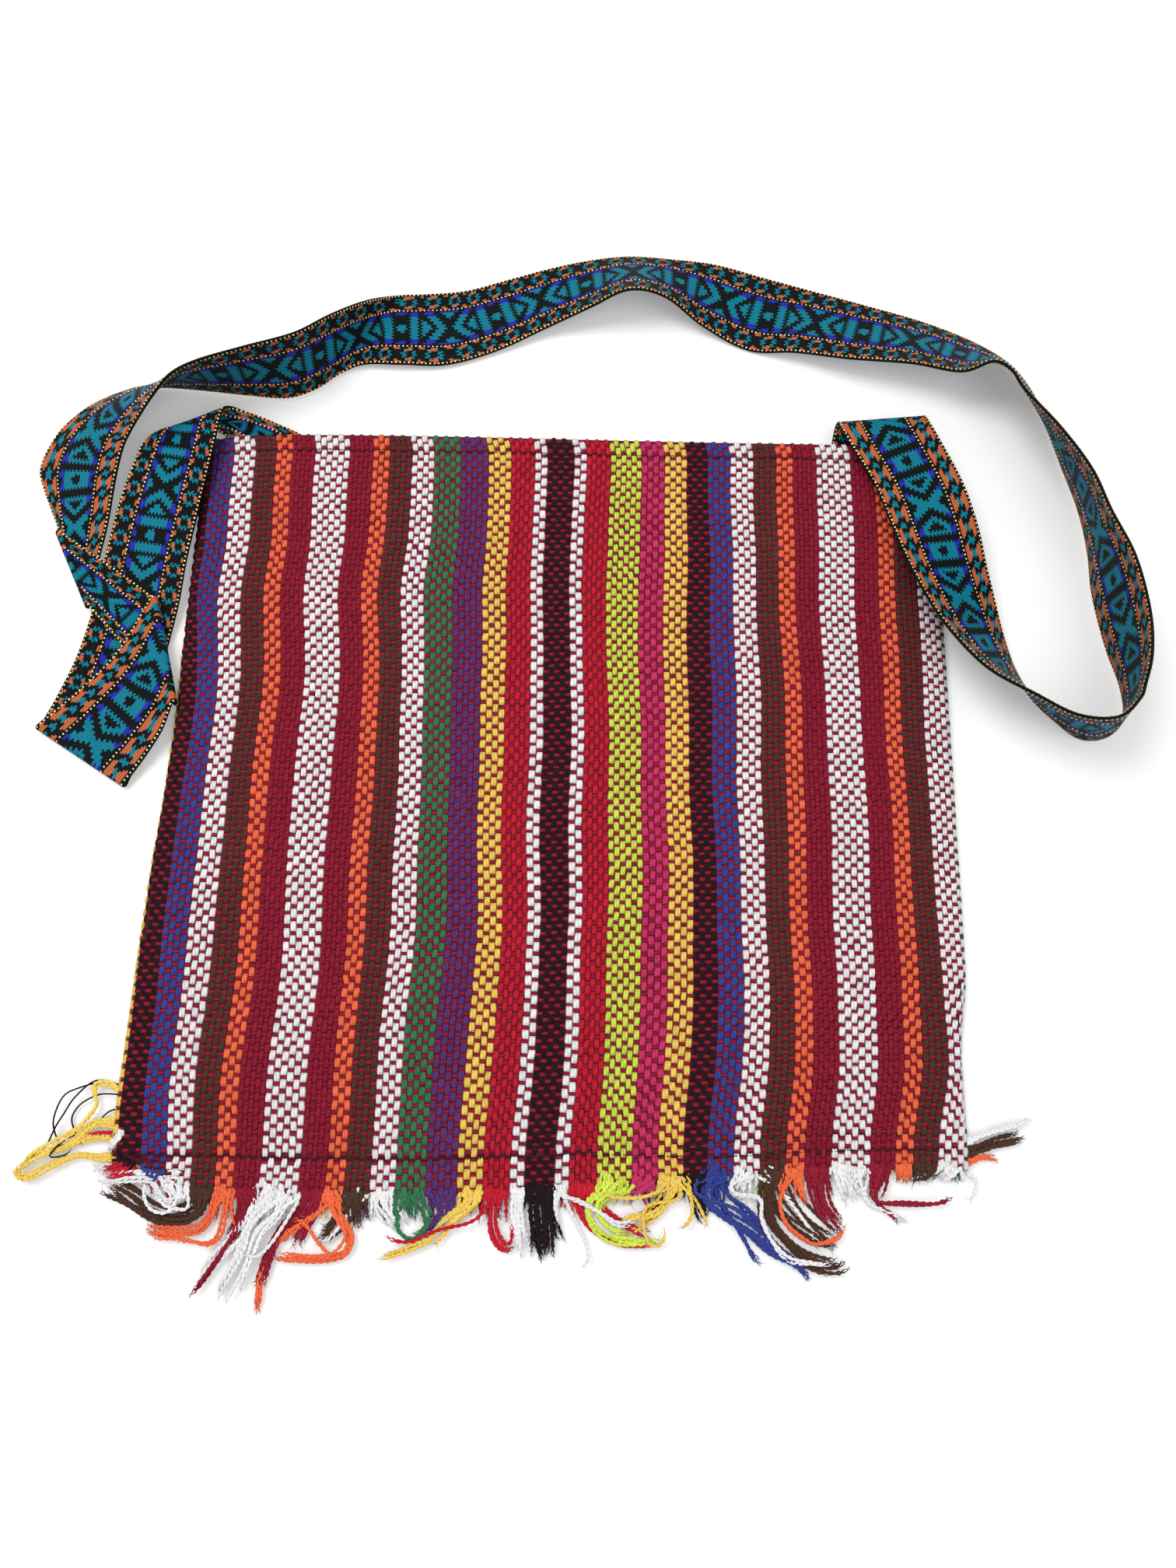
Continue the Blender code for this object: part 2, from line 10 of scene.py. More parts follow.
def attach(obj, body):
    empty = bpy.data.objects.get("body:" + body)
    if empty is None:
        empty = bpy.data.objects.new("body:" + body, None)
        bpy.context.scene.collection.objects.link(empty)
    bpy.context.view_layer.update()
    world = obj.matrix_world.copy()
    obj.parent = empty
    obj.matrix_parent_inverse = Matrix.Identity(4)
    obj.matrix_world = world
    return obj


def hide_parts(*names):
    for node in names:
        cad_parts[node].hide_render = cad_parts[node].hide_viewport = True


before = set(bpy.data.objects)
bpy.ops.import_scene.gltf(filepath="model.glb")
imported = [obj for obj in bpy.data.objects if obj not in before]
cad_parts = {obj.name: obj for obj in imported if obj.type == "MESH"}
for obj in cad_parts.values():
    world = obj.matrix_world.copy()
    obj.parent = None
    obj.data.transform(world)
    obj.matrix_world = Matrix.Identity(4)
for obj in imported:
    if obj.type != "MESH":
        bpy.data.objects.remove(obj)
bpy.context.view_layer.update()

MM = 0.001
RNG = np.random.default_rng(7)

# The bag, as in the CAD model
BAG_LEFT = -144.0 * MM
BAG_RIGHT = 145.0 * MM
MOUTH_Y = 140.0 * MM
BOTTOM_Y = -142.0 * MM
BOTTOM_RISE = 12.0 * MM
LOWER_LEFT_SPREAD = 4.5 * MM
CORNER_LIFT = 9.0 * MM
CORNER_REACH = 26.0 * MM
LEFT_BULGE = 2.8 * MM
RIGHT_TUCK = 3.2 * MM
CLOTH = 2.0 * MM
EDGE_HEIGHT = 2 * CLOTH + 0.4 * MM
BAG_HEIGHT = 11.6 * MM
FOLD_RADIUS = EDGE_HEIGHT / 2
POCKET_RISE = 70.0 * MM
SEAM_ABOVE_END = 11.5 * MM
HEM_DEPTH = 7.0 * MM
SIDE_SQUARENESS = 10
FOLD_LENGTH = math.pi * FOLD_RADIUS
ROLL_BACK = 9.0 * MM
RIGHT_ROLL = 5.5 * MM
MOUTH_EASE = 2.9 * MM
SWAY = 5.4 * MM

# The weave
ROWS = 122
WEFT_PITCH = (MOUTH_Y - BOTTOM_Y) / ROWS
CORE_DEPTH = 0.85 * MM
WARP_HEIGHT = 0.95 * MM
WEFT_HEIGHT = 0.62 * MM
SEAM_DIP = 0.42 * MM
STITCH_RADIUS = 0.15 * MM

# The front's warp stripes from the left fold: colour, width in millimetres, yarns
STRIPES = [
    ("black", 8.2, 4), ("blue", 8.8, 4), ("white", 8.9, 4), ("brown", 8.5, 4), ("orange", 6.4, 3),
    ("maroon", 8.8, 5), ("white", 13.3, 6), ("maroon", 8.8, 5), ("orange", 6.3, 3), ("brown", 8.5, 4),
    ("white", 8.6, 4), ("green", 10.4, 5), ("purple", 10.7, 5), ("yellow", 8.8, 4), ("red", 9.0, 5),
    ("white", 4.8, 2), ("black", 9.9, 5), ("white", 4.8, 2), ("red", 9.0, 5), ("lime", 11.9, 6),
    ("pink", 9.0, 4), ("yellow", 8.8, 4), ("black", 8.2, 4), ("blue", 8.8, 4), ("white", 8.9, 4),
    ("brown", 8.5, 4), ("orange", 6.4, 3), ("maroon", 8.8, 5), ("white", 13.3, 6), ("maroon", 8.8, 5),
    ("orange", 6.3, 3), ("brown", 8.5, 4), ("white", 8.6, 4),
]
WARP_WIDTH = sum(width for _, width, _ in STRIPES) * MM
REPEAT = STRIPES[:21] + [("yellow", 8.8, 4)]
LEFT_FOLD_YARNS = ["yellow", "yellow", "yellow"]
RIGHT_SEAM_YARNS = ["white", "green", "green"]

# The fringe's yarns
PLY_RADIUS = 0.40 * MM
PLY_OFFSET = 0.34 * MM
PLY_PITCH = 4.6 * MM
STRAND_STEP = 1.1 * MM
STRAND_SIDES = 5
FIBRE_RADIUS = 0.11 * MM

# How the yarn ends lie, drawn from the photograph: the stripe's number from the left, the
# strands, their spread at the tip, the height they lie at and their path from the woven end,
# all in millimetres
BUNCHES = [
    (1, 4, 3, 0.2, [(0, 0), (-1, -3), (-3, -5)]),
    (2, 4, 3, 0.2, [(0, 0), (-1, -3), (-4, -4.5)]),
    (3, 4, 5, 1.4, [(0, 0), (-2.5, 1), (-6.5, 2), (-13, 2.5), (-21, 4), (-28.5, 3.5), (-32, 5)]),
    (3, 3, 4, 1.8, [(1, 0), (1.5, -4), (-3, -5), (-8, 1), (-15, 1), (-24, 0), (-31, 1)]),
    (3, 1, 0, 2.4, [(4, -1), (4.5, -8), (0, -8), (-3, -9.5), (-7.5, -8.5), (-10.5, -4.5), (-11, -1), (-15, -1)]),
    (3, 2, 1.5, 2.0, [(2, 0), (3, -5), (0, -4), (-2.5, -0.5), (-5.5, 2)]),
    (3, 2, 1.5, 2.2, [(0, -1), (-1, -7.5), (-5.5, -4.5), (-9, -2.5)]),
    (4, 9, 9, 0.4, [(0, 0), (-2, -6), (-9, -9), (-17, -7.5), (-25, -3), (-33, 1)]),
    (4, 5, 5, 0.9, [(0, 0), (0, -6), (-4, -10.5), (-12, -11), (-20, -8)]),
    (5, 5, 4, 0.8, [(0, 0), (-2, -4.5), (-4, -10), (-8, -14), (-16, -15), (-25, -14), (-28, -10)]),
    (5, 2, 2, 1.8, [(1, 0), (0.5, -8), (-0.5, -15), (-4, -17.5), (-11, -16.5), (-22, -16)]),
    (5, 2, 2, 1.2, [(2, 0), (3, -6), (5, -13)]),
    (6, 8, 8, 0.5, [(0, 0), (-1, -6), (-2, -12), (-5, -18)]),
    (6, 3, 2, 1.6, [(0, 0), (-1, -10), (-6, -20), (-12, -29), (-17, -34.5)]),
    (7, 8, 9, 1.4, [(0, 0), (-3, -6), (-8, -12), (-10.5, -20), (-14, -28), (-17, -35)]),
    (7, 4, 4, 1.0, [(-3, 0), (-6, -6), (-12, -14), (-20, -23), (-27, -31)]),
    (7, 3, 3, 1.9, [(4, 0), (0, -7), (-6, -14), (-9, -24), (-11, -34)]),
    (7, 1, 0, 2.6, [(7, -1), (6, -6), (2, -13), (-3, -19), (-7, -21), (-11, -18), (-12, -13)]),
    (7, 2, 2, 1.2, [(-5, 0), (-8, -6), (-13, -13), (-19, -18)]),
    (8, 9, 9, 0.5, [(0, 0), (0, -6), (-3, -12), (-6, -18)]),
    (8, 5, 5, 0.9, [(0, 0), (-2, -6), (-9, -12), (-14, -22), (-17, -33)]),
    (9, 4, 3, 1.2, [(0, 0), (1, -6), (5, -12), (6.5, -16), (4, -20.5), (-6, -22), (-20, -22)]),
    (9, 1, 0, 2.2, [(1, 0), (2.5, -8), (5, -15), (0.5, -20.5), (-4, -17), (-9, -10.5), (-14, -9), (-20, -9.5)]),
    (9, 4, 2.5, 0.6, [(-1, -1), (-6, -8), (-18, -16), (-22, -25), (-23, -33), (-24, -40)]),
    (10, 4, 5, 0.2, [(-3, 0), (-6, -9), (-9, -14), (-14, -17)]),
    (11, 2, 3, 0.2, [(-6, 0), (-12, -10), (-16, -16), (-22, -19)]),
    (10, 8, 10, 0.3, [(0, 0), (0.5, -6), (1, -12)]),
    (10, 4, 6, 0.5, [(0, 0), (-2, -8), (-7, -13), (-12, -15)]),
    (11, 7, 7, 0.9, [(0, 0), (1, -5), (4, -9), (6, -12)]),
    (12, 2, 1, 1.1, [(-3, 0), (-4, -7), (-3.5, -13), (1, -15.5), (5, -13), (7, -6), (8, -1)]),
    (12, 5, 6, 0.8, [(0, 0), (0, -5), (1, -9)]),
    (12, 2, 1, 1.0, [(2, 0), (4, -6), (6, -11), (3, -14), (0, -15)]),
    (13, 5, 4, 0.9, [(0, 0), (1, -6), (-2, -11), (-6, -15)]),
    (13, 4, 6, 0.5, [(0, 0), (1, -5), (2, -9)]),
    (14, 3, 2, 1.6, [(0, 0), (0.5, -3.5), (-5, -7), (-10, -12), (-13, -16.5), (-24, -20.5), (-33.5, -24)]),
    (14, 4, 3, 1.3, [(1, 0), (0.5, -4), (-4, -8), (-8, -14), (-11, -18)]),
    (14, 2, 2, 1.5, [(1, 0), (2, -4), (-3, -9), (-6, -12)]),
    (15, 1, 0, 2.2, [(-3, 0), (-3, -5), (-9, -11), (-21, -14.5), (-29, -17), (-36, -16), (-39.5, -12), (-40, -8.5)]),
    (15, 6, 3.5, 1.0, [(0, 0), (-1.5, -9), (-0.5, -15), (3, -19), (6, -18)]),
    (15, 1, 0, 1.4, [(2, 0), (0, -10), (2, -17), (5.5, -17), (5, -10)]),
    (16, 6, 4, 1.2, [(0, 0), (-0.5, -7), (0.5, -14), (2, -22)]),
    (16, 2, 1, 0.6, [(1, 0), (1, -8), (4, -18), (6, -24)]),
    (17, 12, 7, 1.2, [(0, 0), (0, -8), (1, -16), (2, -24)]),
    (17, 4, 4, 0.6, [(2, 0), (3, -8), (6, -15), (8, -19)]),
    (17, 3, 2, 1.0, [(-1, 0), (0, -12), (1, -22), (2, -26)]),
    (18, 2, 1.2, 2.4, [(0, 0), (1, -3.5), (6, -5), (13.5, -8.5), (19, -12), (25.5, -11.5)]),
    (18, 1, 0, 1.6, [(0, -1), (5, -12), (8.5, -19.5), (9, -24), (6.5, -27)]),
    (18, 2, 2, 1.4, [(-1, 0), (-1.5, -7), (0, -13)]),
    (19, 3, 2, 0.9, [(0, 0), (-1, -4), (0, -9), (5, -15.5), (15, -19), (25.5, -18)]),
    (19, 3, 5, 0.2, [(3, 0), (8, -8), (16, -13), (24, -16)]),
    (19, 4, 7, 0.4, [(0, 0), (0, -5), (2, -9)]),
    (20, 5, 3.5, 1.4, [(0, 0), (-4, -3.5), (-8, -7), (-7, -13.5), (-1, -18), (9, -19.5), (17.5, -19)]),
    (20, 3, 3, 1.8, [(2, 0), (-1, -4), (-5, -8), (-3, -14), (5, -17.5)]),
    (20, 2, 2, 1.2, [(5, 0), (3, -3), (-2, -4), (-6, -5)]),
    (21, 4, 4, 0.9, [(0, 0), (-3, -2.5), (-9, -3.5)]),
    (21, 4, 6, 0.3, [(0, 0), (-1, -4), (-1, -7)]),
    (22, 2, 1, 2.2, [(0, 0), (0, -2.5), (-7.5, -6), (-16, -7), (-25.5, -6)]),
    (22, 1, 0, 2.4, [(3, 0), (2.5, -7), (-7, -10), (-8.5, -15), (-7.5, -21), (-4, -22.5), (-1.5, -19.5), (-1, -13)]),
    (22, 2, 1.2, 1.9, [(4, 0), (7.5, -8), (7.5, -13.5), (4, -17), (1, -15)]),
    (22, 3, 2.5, 1.6, [(1, 0), (0, -6), (-5, -12), (-13, -14), (-18, -17)]),
    (22, 5, 8, 0.3, [(0, 0), (-3, -8), (-9, -13), (-16, -16)]),
    (23, 4, 6, 0.2, [(-3, 0), (-6, -6), (-12, -10), (-18, -14)]),
    (22, 1, 0, 1.2, [(4, 0), (8, -7), (12, -15), (11, -17)]),
    (23, 9, 9, 0.5, [(0, 0), (1, -7), (4, -15)]),
    (24, 6, 4, 1.6, [(0, 0), (-3, -3), (-4, -8), (2, -14), (10, -19), (17, -24), (26, -29), (31, -35)]),
    (24, 2, 1.2, 1.2, [(0, 0), (-1, -8), (4, -15), (8, -22), (11, -27), (15.5, -29.5)]),
    (24, 2, 1, 2.0, [(-3, 0), (-8.5, -3.5), (-8, -7.5), (-2, -9.5), (6, -12), (14, -20)]),
    (24, 3, 2, 1.0, [(2, 0), (2, -6), (9, -12), (18, -22), (27, -31)]),
    (25, 2, 1.2, 2.2, [(0, 0), (-5, -5), (-3, -8), (4, -9.5), (4.5, -15), (8, -22), (13.5, -28), (22, -29), (31, -30)]),
    (25, 4, 6, 1.6, [(0, 0), (-2, -4), (-3, -7)]),
    (25, 1, 0, 1.0, [(1, 0), (-1, -12), (6, -22), (18, -30), (22, -36)]),
    (26, 9, 7, 1.2, [(0, 0), (-2, -8), (-1, -17), (4, -24), (11, -29), (20, -31), (26, -28)]),
    (26, 5, 5, 0.7, [(0, 0), (-1, -8), (4, -16), (14, -23), (22, -24)]),
    (26, 4, 6, 0.4, [(3, 0), (6, -8), (12, -16), (20, -22), (26, -25)]),
    (25, 3, 3, 0.4, [(6, 0), (14, -8), (20, -16), (24, -22), (30, -26)]),
    (27, 2, 1, 2.0, [(0, 0), (-3, -6), (-4.5, -12), (-2.5, -18.5), (2.5, -23), (7, -24.5), (14.5, -21.5), (18, -14)]),
    (27, 4, 4, 1.6, [(0, 0), (2, -4), (3, -8), (4.5, -13)]),
    (27, 2, 2, 1.4, [(-1, 0), (-4, -7), (-4, -12)]),
    (28, 9, 9, 0.9, [(0, 0), (0, -8), (2, -14), (6, -19)]),
    (28, 3, 3, 0.6, [(0, 0), (2, -12), (8, -20), (10, -22)]),
    (29, 11, 7, 1.2, [(0, 0), (-1, -5), (0, -10), (1, -12)]),
    (29, 3, 3, 1.0, [(3, -2), (6, -12), (12, -15), (21, -20)]),
    (30, 8, 7, 1.0, [(0, 0), (-1, -6), (-3, -11)]),
    (30, 2, 1.5, 1.4, [(-2, -1), (-2, -12), (3, -16), (8, -21)]),
    (30, 2, 1, 1.7, [(-2, -1), (-3, -11), (7, -12.5), (19, -12.5), (26, -8)]),
    (31, 6, 4, 1.3, [(0, 0), (0, -3), (-1, -5.5)]),
    (32, 6, 6, 0.9, [(0, 0), (-1, -3), (-6, -5)]),
    (33, 6, 4, 1.2, [(0, 0), (-2, -3), (-4, -4)]),
]

# Short ends that fill the gaps under the woven end, in millimetres, and where the fringe
# turns short at its right end
SHORT_END = 9.0
RIGHT_END = 4.5
FIRST_SHORT_STRIPE = 29

# The side tufts: colour, strands, spread, height, the y they leave the edge at, their path
LEFT_TUFTS = [
    ("yellow", 2, 1.2, 2.0, -110, [(1, 0), (-3, 2.5), (-7.5, 2), (-7.5, -1.5), (-6.5, -4.5), (-9.5, -9.5),
                                   (-13.5, -13.5), (-20.5, -18), (-26, -21), (-29.5, -25)]),
    ("yellow", 5, 3.5, 1.0, -120.5, [(1, 0), (-4, 0), (-9, -2.5), (-13.5, -7), (-18, -9), (-23, -11),
                                     (-27.5, -14), (-29.5, -17)]),
    ("yellow", 4, 2.5, 1.6, -132, [(1, 0.5), (-5, 1), (-10.5, 1), (-16, -1), (-21, -3), (-26.5, -6),
                                   (-30, -6), (-30.5, -4), (-26.5, -1)]),
    ("yellow", 3, 2.5, 0.8, -125.5, [(1, 0), (-5, 0.5), (-10, -0.5), (-16, -3)]),
    ("red", 2, 1.5, 0.9, -124, [(1, 0), (-5, 0.5), (-12, -1)]),
    ("white", 3, 1.5, 4.1, -125, [(3.5, 2.5), (3, 0.5), (1, -2), (0.5, -5)]),
    ("red", 7, 5, 2.6, -133.5, [(9, -0.5), (4, -2), (-1.5, -2.5)]),
]
RIGHT_TUFTS = [
    ("white", 3, 2.5, 1.6, -121.5, [(-1, 0), (7.5, 3.5), (15, 6), (22.5, 8.5)]),
    ("brown", 6, 3.5, 1.0, -125, [(-1, 0), (7.5, 3), (15, 5), (21.5, 6.5)]),
    ("orange", 3, 2, 0.6, -128, [(-1, 0), (5.5, 2), (11.5, 1.5)]),
    ("white", 1, 0, 1.0, -131, [(-1, 0), (2, -2.5), (1, -8), (-2, -11)]),
]
THIN_THREADS = [
    (-109.5, [(1, 0), (-4, 1.5), (-8.5, 2), (-13.5, 0.5), (-18, -2), (-20, -7.5), (-20, -12.5), (-17, -19)]),
    (-111, [(1, 0), (-5.5, 0), (-10.5, -2), (-13.5, -4.5), (-15, -8.5), (-12.5, -13.5), (-9.5, -17)]),
    (-108.5, [(1, 0.5), (-8, 2), (-14, -3.5), (-17, -9), (-19.5, -13.5), (-22, -19.5), (-24, -21.5)]),
    (-115.5, [(1, 0), (-3, -1.5), (-7, -6), (-11.5, -8.5), (-16, -11), (-20, -16), (-15, -15.5), (-12.5, -13)]),
]
THIN_RADIUS = 0.30 * MM

# The strap
STRAP_THICKNESS = 1.2 * MM
STRAP_STEP = 1.5 * MM
STRAP_WIDTH = 35.0
FOLD_STEPS = 14
FIRST_FOLD_SIDES = (1, -1, 1)
MOTIF = 39.5
MOTIF_START = 5.3
HALF_BAND = 8.3
FLOWER_PITCH = MOTIF / 4
FLOWER_START = 8.3
FLOWER_LINE = 12.9
PICOT_PITCH = MOTIF / 23
PICOT_LINES = (0.75, 8.7, 26.3, 34.25)

# The strap's route in millimetres, as pairs of points on its two edges, as in the CAD model,
# with the right loop drawn a little closer to the photograph
FIRST_RUN = [
    ((-134, 100, 3.8), (-100, 100, 3.8)), ((-134, 124, 3.8), (-100, 124, 3.8)),
    ((-134, 139.5, 3.8), (-103, 140.5, 4)), ((-143, 145, 4.6), (-116, 147.5, 5.6)),
    ((-156, 144, 6.2), (-128, 151, 8.2)), ((-163, 140, 8), (-133, 151, 11)),
    ((-166.5, 134, 9.5), (-135, 147.5, 13.5)), ((-168.5, 127, 9.5), (-136, 138, 14)),
    ((-171, 119, 8.5), (-137.5, 127, 13)), ((-174, 108, 6.5), (-140.5, 110, 10.5)),
    ((-177.5, 89, 3.5), (-144.5, 87, 7)), ((-180, 70, 1.8), (-146.5, 70, 4.5)),
    ((-184, 50, 1), (-150, 51, 1.8)), ((-189.5, 33, 1), (-154.5, 16, 1)),
    ((-194.5, 21, 1), (-159, -1, 1)),
]
SECOND_RUN = [
    ((-194.5, 21, 3), (-159, -1, 3)), ((-186.5, 28, 4.4), (-155, 4.5, 4)),
    ((-178, 35.5, 6.2), (-150.5, 11, 5.6)), ((-166.5, 49, 7.4), (-146, 19, 7.2)),
    ((-156, 72, 7.6), (-143.5, 28.5, 7.8)),
]
THIRD_RUN = [
    ((-156, 72, 5.4), (-143.5, 28.5, 5.6)), ((-170, 82, 5.2), (-157, 43, 5.2)),
    ((-183, 90.5, 5), (-169.5, 56.5, 5)), ((-196.5, 99.5, 5), (-180.5, 68, 5)),
]
LAST_RUN = [
    ((-196.5, 99.5, 3), (-180.5, 68, 3)), ((-201, 108, 2.4), (-180, 85, 3.2)),
    ((-206, 118, 1.2), (-177, 102, 6)), ((-209, 127, 1), (-175, 119.5, 9)),
    ((-207, 137, 1), (-172.5, 131, 12)), ((-202, 147, 1), (-169, 137, 15)),
    ((-192, 157, 1), (-164, 143, 19)), ((-177, 164.5, 1), (-157, 148, 25.5)),
    ((-165, 166, 1), (-150, 153, 30)), ((-149, 165, 1), (-140, 157.5, 32)),
    ((-130, 163, 1), (-123, 163, 33)), ((-114, 162, 1), (-105, 171, 31)),
    ((-103, 166, 1), (-93, 184, 25)), ((-94, 173, 1), (-82, 198, 15)),
    ((-84, 177, 2.5), (-72, 209, 4)), ((-68, 177, 3), (-60, 212, 1)),
    ((-50, 178, 2), (-44, 214, 1)), ((-30, 185, 2), (-26, 220, 1)),
    ((-10, 194, 5), (-8, 226, 1)), ((8, 199, 12), (8, 230, 1)),
    ((23, 202, 19), (24, 232, 1)), ((38, 202, 15), (42, 231, 1)),
    ((54, 196, 5), (60, 229, 1)), ((73, 188, 1), (80, 223, 1)),
    ((91, 184, 6), (100, 217, 1)), ((112, 178, 11), (120, 211, 1)),
    ((135, 173, 16), (145, 203, 1)), ((153, 167, 20), (165, 194, 1)),
    ((163, 167, 27), (179, 184, 1)), ((169, 162, 29), (187, 172, 1)),
    ((173, 153, 30), (192, 158, 1)), ((184, 135, 33), (197, 138, 1)),
    ((193, 117, 35), (202, 118, 1)), ((198, 100, 36), (204, 100, 1)),
    ((205, 82, 36), (204, 82, 1)), ((208, 61, 36), (207, 61, 1)),
    ((207, 45, 36), (211, 45, 1)), ((204, 34, 35), (211, 33, 1)),
    ((201, 28, 36), (204, 25, 1)), ((193, 21, 36), (194, 24, 1)),
    ((180, 22, 34), (185, 31, 1)), ((166, 30, 32.5), (177, 40, 1)),
    ((151, 41, 29), (171, 51, 2)), ((139, 58, 25), (167, 64, 4)),
    ((132, 74, 21.5), (164, 77, 6.5)), ((127, 89, 18.5), (161, 90, 9)),
    ((123, 104, 16), (158, 104, 12)), ((118, 120, 15), (153, 121, 14)),
    ((111, 135, 14), (146, 138, 14)), ((107, 144, 13), (142, 148, 13)),
    ((106, 150, 9), (141, 153.5, 9)), ((105, 146, 5), (139, 148.5, 5)),
    ((104, 138, 3.8), (137, 138.5, 3.7)), ((103, 124, 3.7), (136, 124, 3.6)),
    ((103, 102, 3.7), (136, 102, 3.6)),
]

# Yarn colours, linear
YARN = {
    "black": (0.014, 0.006, 0.008), "blue": (0.035, 0.052, 0.27), "white": (0.89, 0.86, 0.87),
    "brown": (0.072, 0.032, 0.020), "orange": (0.90, 0.15, 0.055), "maroon": (0.27, 0.010, 0.030),
    "green": (0.036, 0.18, 0.080), "purple": (0.095, 0.032, 0.16), "yellow": (0.90, 0.59, 0.11),
    "red": (0.55, 0.012, 0.030), "lime": (0.62, 0.74, 0.085), "pink": (0.57, 0.032, 0.13),
    "weft": (0.36, 0.012, 0.042), "thread": (0.075, 0.010, 0.018),
}

RIBBON = {
    "teal": (0.003, 0.19, 0.275), "blue": (0.018, 0.026, 0.38), "ground": (0.005, 0.007, 0.007),
    "orange": (0.51, 0.125, 0.048), "gold": (0.84, 0.66, 0.20),
}


# Small tools

def ease(value):
    """Rise smoothly from 0 to 1."""
    value = np.clip(value, 0.0, 1.0)
    return value * value * (3 - 2 * value)


def unit(vectors):
    """Give each row the length 1."""
    return vectors / np.maximum(np.linalg.norm(vectors, axis=-1, keepdims=True), 1e-12)


def mesh_object(name, points, faces, smooth=True):
    """Make an object from arrays of points and of faces that have three or four corners."""
    mesh = bpy.data.meshes.new(name)
    points = np.asarray(points, dtype=np.float32).reshape(-1, 3)
    mesh.vertices.add(len(points))
    mesh.vertices.foreach_set("co", points.ravel())
    groups = [np.asarray(group, dtype=np.int32) for group in faces if len(group)]
    corners = np.concatenate([group.ravel() for group in groups])
    sizes = np.concatenate([np.full(len(group), group.shape[1], dtype=np.int32) for group in groups])
    mesh.loops.add(len(corners))
    mesh.loops.foreach_set("vertex_index", corners)
    mesh.polygons.add(len(sizes))
    mesh.polygons.foreach_set("loop_start", np.concatenate([[0], np.cumsum(sizes)[:-1]]).astype(np.int32))
    mesh.update(calc_edges=True)
    if smooth:
        mesh.shade_smooth()
    made = bpy.data.objects.new(name, mesh)
    bpy.context.scene.collection.objects.link(made)
    return made


def grid_faces(rows, columns, wrap=False):
    """The quads of one grid of points, row by row, closed round its columns if asked."""
    row = np.arange(rows - 1)[:, None]
    column = np.arange(columns if wrap else columns - 1)[None, :]
    after = (column + 1) % columns
    quads = np.stack([row * columns + column, row * columns + after,
                      (row + 1) * columns + after, (row + 1) * columns + column], axis=-1)
    return quads.reshape(-1, 4)


def repeat_faces(faces, copies, size):
    """The same faces for each of several copies of a shape."""
    return (faces[None] + (np.arange(copies) * size)[:, None, None]).reshape(-1, faces.shape[1])


def paint(made, name, values):
    """Store one number for each point, for the material to read."""
    layer = made.data.attributes.new(name, "FLOAT", "POINT")
    layer.data.foreach_set("value", np.asarray(values, dtype=np.float32).ravel())


# Node building

class Field:
    """A number in a node tree that can be added, multiplied and compared like a Python one."""

    def __init__(self, tree, socket):
        self.tree = tree
        self.socket = socket

    def make(self, operation, *others, clamp=False):
        node = self.tree.nodes.new("ShaderNodeMath")
        node.operation = operation
        node.use_clamp = clamp
        for slot, value in zip(node.inputs, (self, *others)):
            if isinstance(value, Field):
                self.tree.links.new(value.socket, slot)
            else:
                slot.default_value = value
        return Field(self.tree, node.outputs[0])

    def __add__(self, other):
        return self.make("ADD", other)

    def __sub__(self, other):
        return self.make("SUBTRACT", other)

    def __mul__(self, other):
        return self.make("MULTIPLY", other)

    def __truediv__(self, other):
        return self.make("DIVIDE", other)

    def under(self, other):
        return self.make("LESS_THAN", other)

    def over(self, other):
        return self.make("GREATER_THAN", other)

    def size(self):
        return self.make("ABSOLUTE")

    def steps(self, step):
        return self.make("SNAP", step)

    def repeat(self, period):
        return self.make("PINGPONG", period / 2)

    def sine(self):
        return self.make("SINE")

    def power(self, exponent):
        return self.make("POWER", exponent)

    def inside(self, low, high):
        return self.over(low) * self.under(high)

    def either(self, other):
        return self.make("MAXIMUM", other)

    def limit(self):
        return self.make("ADD", 0.0, clamp=True)


def new_material(name):
    """A material with its tree, its shader and the shader's output."""
    made = bpy.data.materials.new(name)
    made.use_nodes = True
    tree = made.node_tree
    return made, tree, tree.nodes["Principled BSDF"]


def mix_colour(tree, share, first, second):
    """Blend two colours, each a tuple or a socket, by a Field or a number."""
    node = tree.nodes.new("ShaderNodeMix")
    node.data_type = "RGBA"
    if isinstance(share, Field):
        tree.links.new(share.socket, node.inputs[0])
    else:
        node.inputs[0].default_value = share
    for slot, value in ((node.inputs[6], first), (node.inputs[7], second)):
        if isinstance(value, tuple):
            slot.default_value = (*value, 1.0)
        else:
            tree.links.new(value, slot)
    return node.outputs[2]


def attribute(tree, name):
    """A stored number of the mesh."""
    node = tree.nodes.new("ShaderNodeAttribute")
    node.attribute_name = name
    return Field(tree, node.outputs["Fac"])


def noise(tree, vector, scale, detail=2.0):
    """Soft noise on a vector socket."""
    node = tree.nodes.new("ShaderNodeTexNoise")
    node.inputs["Scale"].default_value = scale
    node.inputs["Detail"].default_value = detail
    tree.links.new(vector, node.inputs["Vector"])
    return Field(tree, node.outputs["Fac"])


def add_bump(tree, shader, height, distance, strength=1.0):
    """Press a height Field into the shader's normal."""
    node = tree.nodes.new("ShaderNodeBump")
    node.inputs["Distance"].default_value = distance
    node.inputs["Strength"].default_value = strength
    tree.links.new(height.socket, node.inputs["Height"])
    tree.links.new(node.outputs["Normal"], shader.inputs["Normal"])


